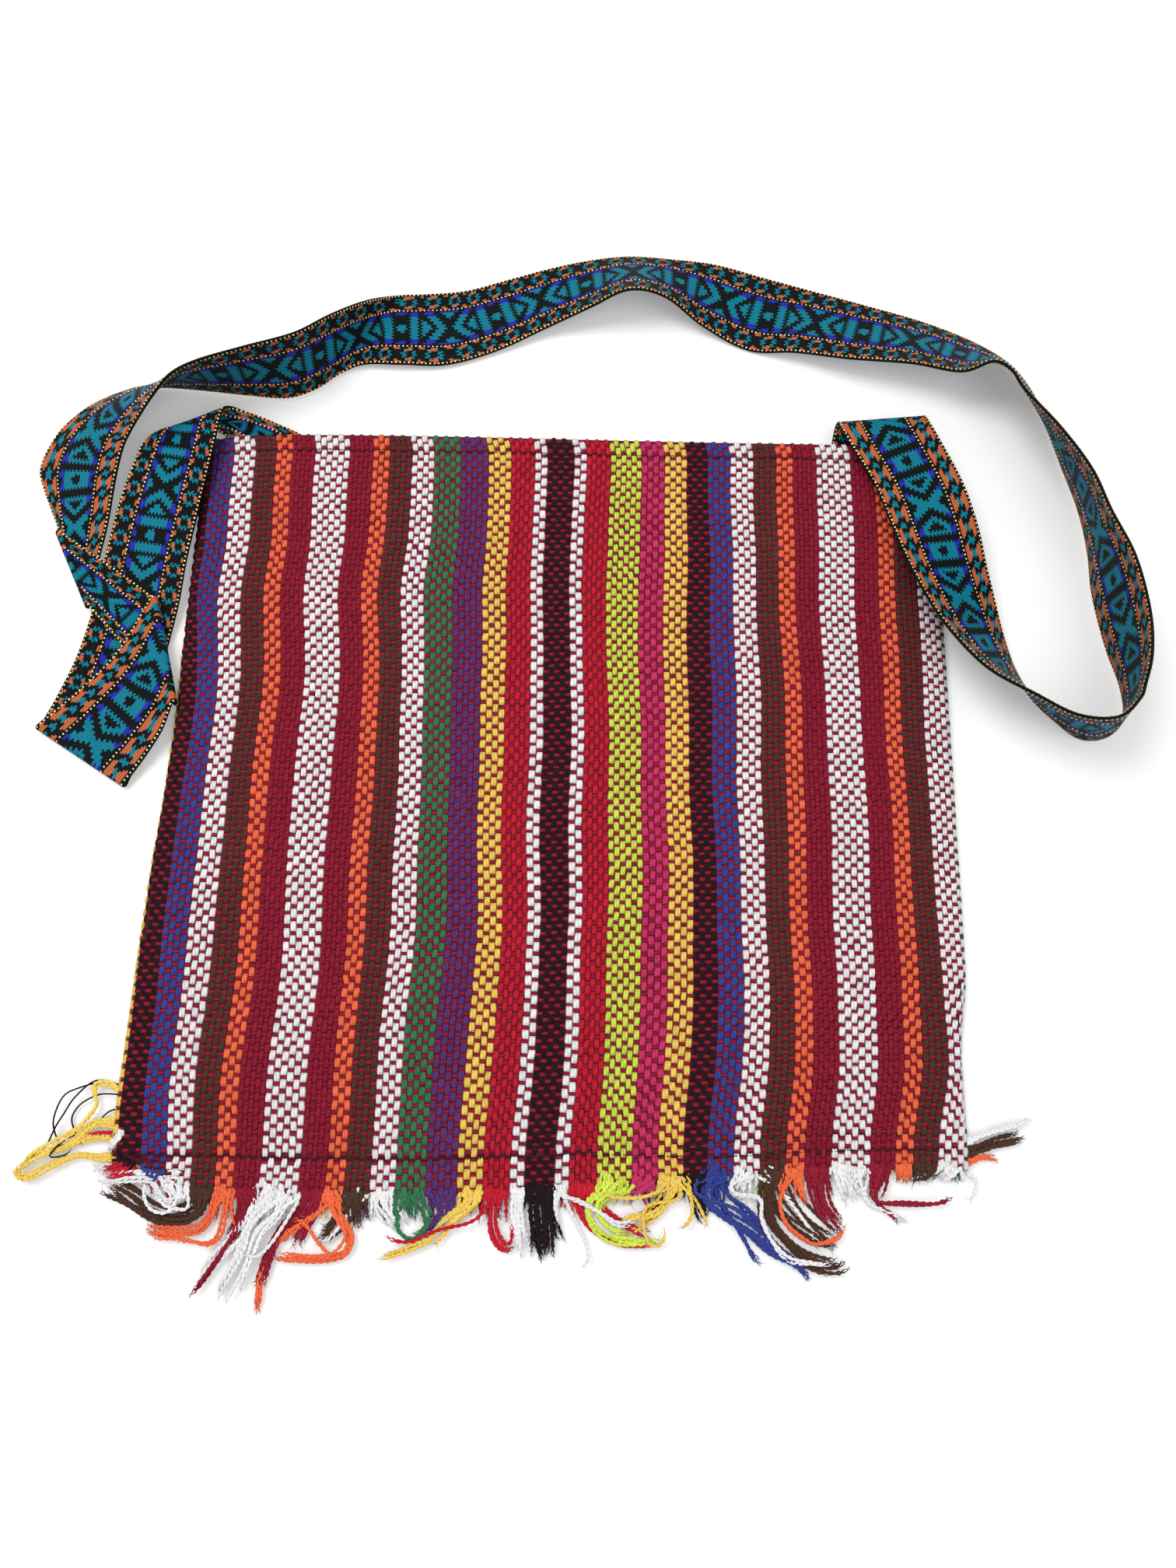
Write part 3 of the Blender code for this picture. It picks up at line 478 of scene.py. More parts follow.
def yarn_material(colour, name, lighter=1.15, darker=0.62):
    """Soft cotton yarn: twisted fibres, a tone for each float, painted highlights and painted shade along its plies,
    and painted shade at the root where each float dips between its neighbours.
    """
    made, tree, shader = new_material(name)
    place = tree.nodes.new("ShaderNodeTexCoord").outputs["Object"]
    tone = attribute(tree, "tone")
    fibre = attribute(tree, "fibre") + noise(tree, place, 1100.0, 1.0) * 0.5 - 0.25
    depth = attribute(tree, "depth")
    # split: the middle line of each float, darkened as painted shade in the groove between the two plies
    split = fibre.size().under(0.16)
    # streaks: light bands along the plies, painted highlights; they also feed the bump
    streaks = (fibre * 9.0 + noise(tree, place, 2000.0, 1.0) * 3.0).sine() * 0.5 + 0.5
    grain = noise(tree, place, 2600.0, 3.0)
    cloudy = noise(tree, place, 55.0, 2.0)
    # The mix runs from the darker to the lighter colour by random tone and grain, the painted ply highlights and the
    # painted shade of the split
    shade = tone * 0.40 + grain * 0.20 + cloudy * 0.15 + streaks * 0.25 - split * 0.38
    base = YARN[colour]
    low = tuple(channel * darker for channel in base)
    high = tuple(min(0.93, channel * lighter + 0.004) for channel in base)
    mixed = mix_colour(tree, shade.limit(), low, high)
    # root: painted shade, dark with a little of the weft's maroon, where a float dips low into the gaps between its
    # neighbours
    root = tuple(channel * 0.16 + warm * 0.12 for channel, warm in zip(base, YARN["weft"]))
    tree.links.new(mix_colour(tree, depth.limit(), root, mixed), shader.inputs["Base Color"])
    ply = streaks * 0.5 + grain * 0.6 - split * 0.8
    add_bump(tree, shader, ply, 0.00016, 0.9)
    shader.inputs["Roughness"].default_value = 0.78
    shader.inputs["Specular IOR Level"].default_value = 0.10
    shader.inputs["Sheen Weight"].default_value = 0.03
    shader.inputs["Sheen Roughness"].default_value = 0.45
    shader.inputs["Sheen Tint"].default_value = (*[min(1.0, channel + 0.2) for channel in base], 1.0)
    return made


MATERIALS = {}


def yarn(colour):
    """The yarn material of that colour, made once."""
    if colour not in MATERIALS:
        MATERIALS[colour] = yarn_material(colour, "yarn_" + colour)
    return MATERIALS[colour]


# The bag's form, as in the CAD model

def left_edge(y):
    """The left fold, which spreads a little towards the lower corner."""
    bulge = LEFT_BULGE * np.exp(-((y + 50.0 * MM) / (38.0 * MM)) ** 2)
    return BAG_LEFT - LOWER_LEFT_SPREAD * ease((-40.0 * MM - y) / (80.0 * MM)) - bulge


def right_edge(y):
    """The right edge, which draws in a little at the bottom."""
    return BAG_RIGHT - RIGHT_TUCK * ease((-70.0 * MM - y) / (35.0 * MM))


def end_line(x):
    """The woven end at the bottom, which rises towards the right."""
    return BOTTOM_Y + BOTTOM_RISE * ease((x + 60.0 * MM) / (190.0 * MM))


def seam_line(x):
    """The bottom seam."""
    return end_line(x) + SEAM_ABOVE_END


def stitch_line(x):
    """The bottom row of stitches, which comes closer to the woven end at the right."""
    return seam_line(x) - 5.5 * MM * ease((x + 10.0 * MM) / (80.0 * MM))


def puff(x, y):
    """How full the pocket is here, from 0 at its seams to 1."""
    left, right = left_edge(y), right_edge(y)
    across = np.clip(np.abs((x - (left + right) / 2) / ((right - left) / 2)), 0.0, 1.0)
    climb = np.clip((y - seam_line(x)) / POCKET_RISE, 0.0, 1.0)
    return (1 - across ** SIDE_SQUARENESS) * np.sin(climb * math.pi / 2) ** 0.8


def smooth_height(x, y):
    """The front panel's outer surface without weave or grooves."""
    wave = 0.35 * MM * np.sin(x / (31.0 * MM) + y / (47.0 * MM))
    return EDGE_HEIGHT + (BAG_HEIGHT - EDGE_HEIGHT + wave) * puff(x, y)


def dip(x, y):
    """How far the stitches and the mouth's fold press the cloth down."""
    seam = np.exp(-((y - stitch_line(x)) / (0.9 * MM)) ** 2)
    hem = np.exp(-((MOUTH_Y - HEM_DEPTH - y) / (0.9 * MM)) ** 2)
    lip = ease(1 - (MOUTH_Y - y) / (1.6 * MM))
    end = ease(1 - (y - end_line(x)) / (3.0 * MM))
    return SEAM_DIP * (seam + hem) + 0.75 * MM * lip + 0.3 * MM * end


def wander(x, y):
    """The small unevenness of a hand-beaten cloth: sideways and lengthwise shifts."""
    sideways = 0.32 * np.sin(y / 0.021 + x / 0.013) + 0.22 * np.sin(y / 0.0087 - x / 0.031)
    lengthwise = 0.35 * np.sin(x / 0.017 + y / 0.043) + 0.20 * np.sin(x / 0.0061)
    hem_lean = -1.1 * ease(1 - (MOUTH_Y - y) / HEM_DEPTH)
    calm = ease((MOUTH_Y - y) / (9.0 * MM)) * ease((y - end_line(x)) / (9.0 * MM))
    return (sideways + hem_lean) * MM, lengthwise * calm * MM


def corner_lift(x):
    """How far the woven end is turned under at the lower left corner."""
    return CORNER_LIFT * ease((BAG_LEFT + CORNER_REACH - x) / CORNER_REACH)


def row_place(x, v):
    """The y of a row of the weave; the lower left corner is turned under."""
    end = end_line(x)
    y = end + v * (MOUTH_Y - end)
    return y + corner_lift(x) * np.maximum(1 - (y - end) / SEAM_ABOVE_END, 0.0)


def cut_rows(girth, v):
    """Rows keep their even pitch at the turned corner: their places, and which are in sight."""
    x = girth_point(girth, v, 0.0)[..., 0]
    lift, reach = corner_lift(x), MOUTH_Y - end_line(x)
    turned = (v * reach - lift) / (reach * (1 - lift / SEAM_ABOVE_END))
    v = np.where(v * reach < SEAM_ABOVE_END, turned, v)
    return np.clip(v, 0.0, 1.0), v >= 0.002


def front_point(share, v, lift):
    """A point of the front: share across, v from woven end to mouth, lift above the CAD form."""
    nominal = BOTTOM_Y + v * (MOUTH_Y - BOTTOM_Y)
    left = left_edge(nominal) + FOLD_RADIUS
    x = left + share * (right_edge(nominal) - FOLD_RADIUS - left)
    y = row_place(x, v)
    sideways, lengthwise = wander(x, y)
    edges = ease(share / 0.04) * ease((1 - share) / 0.04)
    x = x + sideways * edges
    y = np.minimum(y + lengthwise * edges, MOUTH_Y)
    z = smooth_height(x, y) - dip(x, y) + lift
    return np.stack([x, y, z], axis=-1)


def back_point(share, v, lift):
    """A point of the back, which lies flat on its face."""
    nominal = BOTTOM_Y + v * (MOUTH_Y - BOTTOM_Y)
    left = left_edge(nominal) + FOLD_RADIUS
    x = left + share * (right_edge(nominal) - FOLD_RADIUS - left)
    return np.stack([x, row_place(x, v), 0 * x - lift], axis=-1)


def side_point(turn, v, lift, side):
    """A point of a side fold: turn runs from 0 at the front to 1 at the back."""
    nominal = BOTTOM_Y + v * (MOUTH_Y - BOTTOM_Y)
    edge = left_edge(nominal) if side < 0 else right_edge(nominal)
    centre = edge - side * FOLD_RADIUS
    radius = FOLD_RADIUS + lift
    angle = turn * math.pi
    x = centre + side * radius * np.sin(angle)
    z = EDGE_HEIGHT / 2 + radius * np.cos(angle)
    return np.stack([x, row_place(centre, v), z], axis=-1)


def girth_point(girth, v, lift):
    """A point of the outside by its distance round the bag, 0 at the left end of the front.

    The front has positive distances, then comes the right fold. The left fold and the back
    have negative ones.
    """
    front = front_point(np.clip(girth / WARP_WIDTH, 0.0, 1.0), v, lift)
    right = side_point(np.clip((girth - WARP_WIDTH) / FOLD_LENGTH, 0.0, 1.0), v, lift, 1)
    left = side_point(np.clip(-girth / FOLD_LENGTH, 0.0, 1.0), v, lift, -1)
    back = back_point(np.clip(-(girth + FOLD_LENGTH) / WARP_WIDTH, 0.0, 1.0), v, lift)
    girth = girth[..., None]
    point = np.where(girth > WARP_WIDTH, right, front)
    point = np.where(girth < 0, left, point)
    return np.where(girth < -FOLD_LENGTH, back, point)


def rolled(girth, v):
    """The cloth is rolled a little round its folds: left near the mouth, right at the bottom."""
    near = np.clip(np.where(girth > 0, 1 - girth / WARP_WIDTH, 1 + girth / WARP_WIDTH), 0.0, 1.0)
    far = np.where(girth < WARP_WIDTH, girth / WARP_WIDTH, 1 - (girth - WARP_WIDTH) / FOLD_LENGTH)
    inward = np.maximum(girth, 0.0)
    back = ROLL_BACK * ease((v - 0.15) / 0.7) - MOUTH_EASE * ease((v - 0.75) / 0.10)
    sway = SWAY * np.exp(-((v - 0.64) / 0.14) ** 2) * np.exp(-np.abs(girth) / (90.0 * MM))
    bulge = LEFT_BULGE * np.exp(-((v - 0.326) / 0.135) ** 2) * (near - np.exp(-inward / (30.0 * MM)))
    right = RIGHT_ROLL * np.exp(-((v - 0.135) / 0.075) ** 2) * np.clip(far, 0.0, 1.0) ** 2
    return girth - back * near + sway + bulge * (girth > 0) + right


# Weave

def front_yarns():
    """Every warp yarn of the front and its side folds: colour, place round the bag, width."""
    yarns = []
    start = 0.0
    for colour, width, count in STRIPES:
        for index in range(count):
            yarns.append((colour, (start + width * (index + 0.5) / count) * MM, width * MM / count))
        start += width
    pitch = FOLD_LENGTH / len(LEFT_FOLD_YARNS)
    for index, colour in enumerate(LEFT_FOLD_YARNS):
        yarns.insert(0, (colour, -pitch * (index + 0.5), pitch))
    for index, colour in enumerate(RIGHT_SEAM_YARNS):
        yarns.append((colour, WARP_WIDTH + pitch * (index + 0.5), pitch))
    return yarns


def back_yarns():
    """The back's warp yarns from the left fold: the stripes go on in the other order."""
    yarns = []
    start = 0.0
    order = list(reversed(REPEAT))
    turn = 0
    while start < WARP_WIDTH / MM - 0.5:
        colour, full, count = order[turn % len(order)]
        width = min(full, WARP_WIDTH / MM - start)
        count = max(1, round(count * width / full))
        for index in range(count):
            place = (start + width * (index + 0.5) / count) * MM
            yarns.append((colour, -FOLD_LENGTH - place, width * MM / count))
        start += width
        turn += 1
    return yarns


def surface_frames(girth, v):
    """Each place's point, its directions across, along and out of the cloth, and its row pitch."""
    step = 0.002
    low, high = np.maximum(v - step, 0.0), np.minimum(v + step, 1.0)
    point = girth_point(girth, v, 0.0)
    ahead = girth_point(girth, high, 0.0) - girth_point(girth, low, 0.0)
    pitch = np.linalg.norm(ahead, axis=-1) / (high - low) / ROWS
    along = unit(ahead)
    out = unit(girth_point(girth, v, 1.0 * MM) - point)
    across = unit(np.cross(along, out))
    out = unit(np.cross(across, along))
    return point, across, along, out, pitch


class Heap:
    """Many small shapes of one kind, gathered into one mesh."""

    def __init__(self):
        self.points = []
        self.faces = []
        self.tones = []
        self.fibres = []
        self.depths = []
        self.count = 0

    def add(self, points, faces, tones, fibres, depths):
        """Add copies of a shape: points is copies by corners by 3."""
        copies, size = points.shape[:2]
        self.points.append(points.reshape(-1, 3))
        self.faces.append(repeat_faces(faces, copies, size) + self.count)
        self.tones.append(np.broadcast_to(tones, (copies, size)).ravel())
        self.fibres.append(np.broadcast_to(fibres, (copies, size)).ravel())
        self.depths.append(np.broadcast_to(depths, (copies, size)).ravel())
        self.count += copies * size

    def build(self, name, material):
        """Make the heap's one object."""
        made = mesh_object(name, np.concatenate(self.points), self.faces)
        made.data.materials.append(material)
        paint(made, "tone", np.concatenate(self.tones))
        paint(made, "fibre", np.concatenate(self.fibres))
        paint(made, "depth", np.concatenate(self.depths))
        return made


# A float's form: stations along it, points across it, and its height at each
WARP_ALONG = np.array([-1.0, -0.80, -0.30, 0.30, 0.80, 1.0])
WARP_SWELL = np.array([0.64, 0.92, 1.0, 1.0, 0.92, 0.64])
WARP_RISE = np.array([-0.30, 0.68, 1.0, 1.0, 0.68, -0.30])
WARP_ACROSS = np.array([-1.0, -0.52, 0.0, 0.52, 1.0])
WARP_DOME = np.array([-0.05, 0.95, 0.72, 0.95, -0.05])
WEFT_ALONG = np.array([-1.0, -0.45, 0.45, 1.0])
WEFT_SWELL = np.array([0.72, 1.0, 1.0, 0.72])
WEFT_RISE = np.array([0.25, 0.95, 0.95, 0.25])
WEFT_ACROSS = np.array([-1.0, 0.0, 1.0])
WEFT_DOME = np.array([-0.1, 0.95, -0.1])
PLAIN_ALONG = np.array([-1.0, 0.0, 1.0])
PLAIN_SWELL = np.array([0.70, 1.0, 0.70])
PLAIN_RISE = np.array([0.0, 1.0, 0.0])
PLAIN_ACROSS = np.array([-1.0, 0.0, 1.0])
PLAIN_DOME = np.array([0.0, 1.0, 0.0])


def float_shapes(centres, along, across, out, length, width, height, form):
    """Plump floats of yarn on the cloth, each a small domed patch."""
    stations, swell, rise, sides, dome = form
    reach = stations[:, None] * np.ones_like(sides)[None, :]
    side = swell[:, None] * sides[None, :]
    lift = np.minimum(rise[:, None], 1.0) * dome[None, :] + np.minimum(rise[:, None], 0.0) * 0.4
    size = reach.size
    points = centres[:, None, :] + along[:, None, :] * (reach.reshape(1, size, 1) * length[:, None, None])
    points = points + across[:, None, :] * (side.reshape(1, size, 1) * width[:, None, None])
    points = points + out[:, None, :] * (lift.reshape(1, size, 1) * height[:, None, None])
    faces = grid_faces(len(stations), len(sides))
    # depth: how high each point stands; the yarn material paints shade where it is low, in the gaps between floats
    depth = np.clip(lift.reshape(1, size) * 1.35 + 0.05, 0.0, 1.0)
    fibre = sides[None, :].repeat(len(stations), 0).reshape(1, size) + reach.reshape(1, size) * 0.35
    return points, faces, fibre, depth


def lay_floats(heap, rows, girth, width, kind, plain):
    """Lay one yarn's floats: warp floats run along the stripe and weft floats across it."""
    v = (rows + 0.5 + RNG.normal(0.0, 0.05, len(rows))) / ROWS
    place = rolled(np.full(len(v), girth), v)
    point, across, along, out, pitch = surface_frames(place, v)
    cut, seen = cut_rows(place, v)
    point = girth_point(place, cut, 0.0)[seen]
    v, across, along, out, pitch = v[seen], across[seen], along[seen], out[seen], pitch[seen]
    base = point - out * WARP_HEIGHT * 0.92
    jitter = RNG.normal(0.0, 1.0, (4, len(v)))
    tone = np.clip(0.5 + jitter[3] * 0.20, 0.0, 1.0)[:, None]
    if kind == "warp":
        form = (WARP_ALONG, WARP_SWELL, WARP_RISE, WARP_ACROSS, WARP_DOME)
        length = pitch * (0.78 + jitter[0] * 0.03)
        half = width * (0.55 + jitter[1] * 0.025)
        height = WARP_HEIGHT * (1.0 + jitter[2] * 0.06)
        first = unit(along + across * (RNG.normal(0.0, 0.06, len(v)))[:, None])
        second = across
    else:
        form = (WEFT_ALONG, WEFT_SWELL, WEFT_RISE, WEFT_ACROSS, WEFT_DOME)
        length = width * (0.60 + jitter[0] * 0.02)
        half = pitch * (0.35 + jitter[1] * 0.02)
        height = WEFT_HEIGHT * (1.0 + jitter[2] * 0.07)
        first = across
        second = along
    if plain:
        form = (PLAIN_ALONG, PLAIN_SWELL, PLAIN_RISE, PLAIN_ACROSS, PLAIN_DOME)
    points, faces, fibre, depth = float_shapes(base, first, second, out, length, half, height, form)
    heap.add(points, faces, tone, fibre, depth)


def weave_side(yarns, warps, weft, plain):
    """Lay the floats of one side of the bag: warp and weft in turn, like a chessboard."""
    rows = np.arange(ROWS)
    for number, (colour, girth, width) in enumerate(yarns):
        lay_floats(warps[colour], rows[(rows + number) % 2 == 0], girth, width, "warp", plain)
        lay_floats(weft, rows[(rows + number) % 2 == 1], girth, width, "weft", plain)


def make_weave():
    """All the warp floats, one piece for each colour, and the weft's front and back."""
    warps = {colour: Heap() for colour in YARN if colour not in ("weft", "thread")}
    front_weft, back_weft = Heap(), Heap()
    weave_side(front_yarns(), warps, front_weft, False)
    weave_side(back_yarns(), warps, back_weft, True)
    pieces = []
    for colour, heap in warps.items():
        made = heap.build("warp_" + colour, yarn(colour))
        pieces.append(made)
    for name, heap in (("weft_front", front_weft), ("weft_back", back_weft)):
        made = heap.build(name, yarn("weft"))
        pieces.append(made)
    return pieces


# The cloth under the floats

def cloth_ring(v, lift, inner):
    """One ring round the bag, either of its outer side or of its pocket's wall."""
    across = np.linspace(0.0, 1.0, 100)
    turns = np.linspace(0.0, 1.0, 6)[1:-1]
    rows = np.full(100, v)
    if not inner:
        front = front_point(across, rows, lift)
        right = side_point(turns, np.full(4, v), lift, 1)
        back = back_point(across[::-1], rows, lift)
        left = side_point(turns[::-1], np.full(4, v), lift, -1)
        return np.concatenate([front, right, back, left])
    shrink = 0.004
    squeezed = shrink + across * (1 - 2 * shrink)
    front = front_point(squeezed, rows, 0.0)
    back = back_point(squeezed, rows, 0.0)
    floor = CLOTH + 0.0 * front[:, 2]
    front[:, 2] = np.maximum(front[:, 2] - CLOTH, floor + 0.3 * MM)
    back[:, 2] = floor
    right = np.linspace(front[-1], back[-1], 6)[1:-1]
    left = np.linspace(back[0], front[0], 6)[1:-1]
    return np.concatenate([front, right, back[::-1], left])


def make_cloth():
    """The one cloth: a closed shell from the woven end up to the mouth and down inside."""
    outer_v = np.concatenate([np.linspace(0.0, 0.12, 8), np.linspace(0.14, 0.94, 40), np.linspace(0.95, 1.0, 10)])
    inner_v = np.linspace(1.0, (SEAM_ABOVE_END + 3.0 * MM) / (MOUTH_Y - BOTTOM_Y), 24)
    rings = [cloth_ring(v, -CORE_DEPTH, False) for v in outer_v]
    rings += [cloth_ring(v, 0.0, True) for v in inner_v]
    points = np.stack(rings)
    rows, columns = points.shape[:2]
    faces = [grid_faces(rows, columns, wrap=True)]
    caps = []
    for start in (0, (rows - 1) * columns):
        front = np.arange(start, start + 100)
        back = np.arange(start + 204 - 1, start + 104 - 1, -1)
        caps.append(np.stack([front[:-1], front[1:], back[1:], back[:-1]], axis=-1))
        right = np.array([[start + 99, start + 100, start + 103, start + 104],
                          [start + 100, start + 101, start + 102, start + 103]])
        left = np.array([[start + 203, start + 204, start + 207, start],
                         [start + 204, start + 205, start + 206, start + 207]])
        caps += [right, left]
    made = mesh_object("bag_cloth", points.reshape(-1, 3), faces + caps)
    made.data.materials.append(cloth_material())
    return made


def cloth_material():
    """The cloth between the floats and inside the pocket: dark maroon weave, the weft's maroon darkened as painted
    shade for the gaps between the floats.
    """
    made, tree, shader = new_material("cloth_core")
    place = tree.nodes.new("ShaderNodeTexCoord").outputs["Object"]
    split = tree.nodes.new("ShaderNodeSeparateXYZ")
    tree.links.new(place, split.inputs[0])
    x = Field(tree, split.outputs[0])
    y = Field(tree, split.outputs[1])
    waves = (x * (math.pi / (2.2 * MM))).sine() * (y * (math.pi / WEFT_PITCH)).sine()
    grain = noise(tree, place, 900.0, 3.0)
    share = waves * 0.35 + grain * 0.6
    # Both colours are far darker than the weft: painted shade in the gaps between the floats
    shade = mix_colour(tree, share.limit(), (0.035, 0.003, 0.008), (0.13, 0.008, 0.020))
    tree.links.new(shade, shader.inputs["Base Color"])
    add_bump(tree, shader, waves + grain * 0.4, 0.0003)
    shader.inputs["Roughness"].default_value = 0.9
    shader.inputs["Specular IOR Level"].default_value = 0.2
    return made


# The ribbon strap

def smooth_run(stations):
    """Evenly spaced pairs of edge points along one run of the strap."""
    pairs = np.array(stations, dtype=float) * MM
    ends = np.concatenate([pairs[:1], pairs, pairs[-1:]])
    rows = []
    for index in range(len(pairs) - 1):
        before, start, end, after = ends[index:index + 4]
        longest = np.linalg.norm(end - start, axis=1).max()
        steps = max(1, round(longest / STRAP_STEP))
        share = np.arange(steps)[:, None, None] / steps
        bend = (2 * before - 5 * start + 4 * end - after) * share ** 2
        twist = (3 * start - before - 3 * end + after) * share ** 3
        rows.append((2 * start + (end - before) * share + bend + twist) / 2)
    return np.concatenate(rows + [pairs[-1:]])


def half_turn(run, following, side):
    """The strap's turn round a fold line, from one run's end to the next run's start."""
    start, end = run[-1], following[0]
    line = unit((start[1] - start[0])[None])[0]
    outward = unit(np.array([[line[1], -line[0], 0.0]]))[0] * side
    angle = (math.pi * np.arange(1, FOLD_STEPS) / FOLD_STEPS)[:, None, None]
    middle = (start + end) / 2
    radius = ((end[:, 2] - start[:, 2]) / 2)[None, :, None]
    lift = -radius * np.cos(angle) * np.array([0.0, 0.0, 1.0])
    return middle + lift + outward * np.abs(radius) * np.sin(angle)


def flat_lengths(run):
    """How far along the flat ribbon each edge point of a run lies, in millimetres."""
    middle = run.mean(axis=1)
    arc = np.concatenate([[0.0], np.cumsum(np.linalg.norm(np.diff(middle, axis=0), axis=1))])
    ahead = unit(np.gradient(middle, axis=0))
    skew = ((run[:, 0] - run[:, 1]) * ahead).sum(axis=1) / 2
    return np.stack([arc + skew, arc - skew], axis=1) / MM


def strap_rows():
    """The strap's edge points from end to end, and their places along the flat ribbon."""
    runs = [smooth_run(stations) for stations in (FIRST_RUN, SECOND_RUN, THIRD_RUN, LAST_RUN)]
    rows, places = [runs[0]], [flat_lengths(runs[0])]
    for run, following, side in zip(runs, runs[1:], FIRST_FOLD_SIDES):
        turn = half_turn(run, following, side)
        ending = places[-1][-1]
        after = flat_lengths(following)
        after = after - after[0].mean() + ending.mean() + math.pi
        share = np.linspace(0.0, math.pi, len(turn))[:, None]
        rows += [turn, following]
        places += [ending + share, after]
    return np.concatenate(rows), np.concatenate(places)


def strap_sides():
    """The strap as a grid: points, outward direction of its face, and flat places."""
    rows, places = strap_rows()
    inner = np.linspace(0.022, 0.978, 8)
    shares = np.concatenate([[0.0, 0.004, 0.011], inner, [0.989, 0.996, 1.0]])
    points = rows[:, :1] + (rows[:, 1:] - rows[:, :1]) * shares[None, :, None]
    ahead = np.gradient(points, axis=0)
    out = unit(np.cross(ahead, (rows[:, 1] - rows[:, 0])[:, None, :]))
    along = places[:, :1] + (places[:, 1:] - places[:, :1]) * shares[None, :]
    return points, out, along, shares


def make_strap():
    """The woven ribbon: its face, its reverse and its rounded edges."""
    points, out, along, shares = strap_sides()
    edge = np.minimum(shares, 1 - shares) * STRAP_WIDTH * MM
    half = STRAP_THICKNESS / 2
    rim = np.clip(1 - edge / half, 0.0, 1.0)
    thick = (half * np.sqrt(np.maximum(1 - rim ** 2, 0.0)))[None, :, None]
    face, back = points + out * thick, points - out * thick
    ring = np.concatenate([face, back[:, -2:0:-1]], axis=1)
    over = np.concatenate([shares, shares[-2:0:-1]]) * STRAP_WIDTH
    flat = np.concatenate([along, along[:, -2:0:-1]], axis=1)
    rows, columns = ring.shape[:2]
    faces = grid_faces(rows, columns, wrap=True)
    ends = []
    count = len(shares)
    for start in (0, (rows - 1) * columns):
        face_row = np.arange(start, start + count)
        back_row = np.concatenate([[start], np.arange(start + columns - 1, start + count - 1, -1), [start + count - 1]])
        ends.append(np.stack([face_row[:-1], face_row[1:], back_row[1:], back_row[:-1]], axis=-1)[1:-1])
    made = mesh_object("strap_ribbon", ring.reshape(-1, 3), [faces] + ends)
    made.data.materials.append(ribbon_material("ribbon_face", False))
    made.data.materials.append(ribbon_material("ribbon_reverse", True))
    kinds = np.zeros(len(made.data.polygons), dtype=np.int32)
    column = np.tile(np.arange(columns), rows - 1)
    kinds[:len(faces)] = column >= count - 1
    made.data.polygons.foreach_set("material_index", kinds)
    paint(made, "along", flat)
    paint(made, "over", np.broadcast_to(over, (rows, columns)))
    return made


def ribbon_figure(a, b):
    """The middle band's woven figure, and where its blue ends begin."""
    bar = a.inside(3.5, 7.0)
    dot = (a * a + b * b).under(2.1 ** 2)
    low = b - 8.7
    half_dot = (a * a + low * low).under(2.3 ** 2)
    inner = a.over(8.6) * (b + a * 1.05).under(13.4)
    chevron = (a + b * 0.74).inside(14.9, 18.5) * a.over(8.0)
    small = (b * 0.95 + a).over(23.8)
    base = b.over(7.4) * a.over(15.4)
    figure = bar.either(dot).either(half_dot).either(inner).either(chevron).either(small).either(base)
    blue = (b - a.over(15.0) * 1.5).over(5.8)
    return figure * b.under(HALF_BAND), blue


def ribbon_flowers(f, g, reverse):
    """The side bands' orange and teal shapes."""
    from_middle = f * -1.0 + FLOWER_PITCH / 2
    round_place = f * f + g * g
    if reverse:
        teal = round_place.under(1.4 ** 2).either(from_middle.under(1.5) * g.under(1.25))
        waist = g + from_middle.under(1.3) * 0.45
        orange = waist.inside(1.6, 3.5) * f.over(1.5) * round_place.over(2.4 ** 2)
        return teal, orange
    high = g - 2.5
    blob = (f * f * (1 / 1.35 ** 2) + high * high * (1 / 0.95 ** 2)).under(1.0)
    edge = g - 3.3
    speck = (from_middle * from_middle * (1 / 1.15 ** 2) + edge * edge * (1 / 0.85 ** 2)).under(1.0)
    teal = round_place.inside(1.6 ** 2, 2.9 ** 2) * f.over(1.3)
    return teal, blob.either(speck)


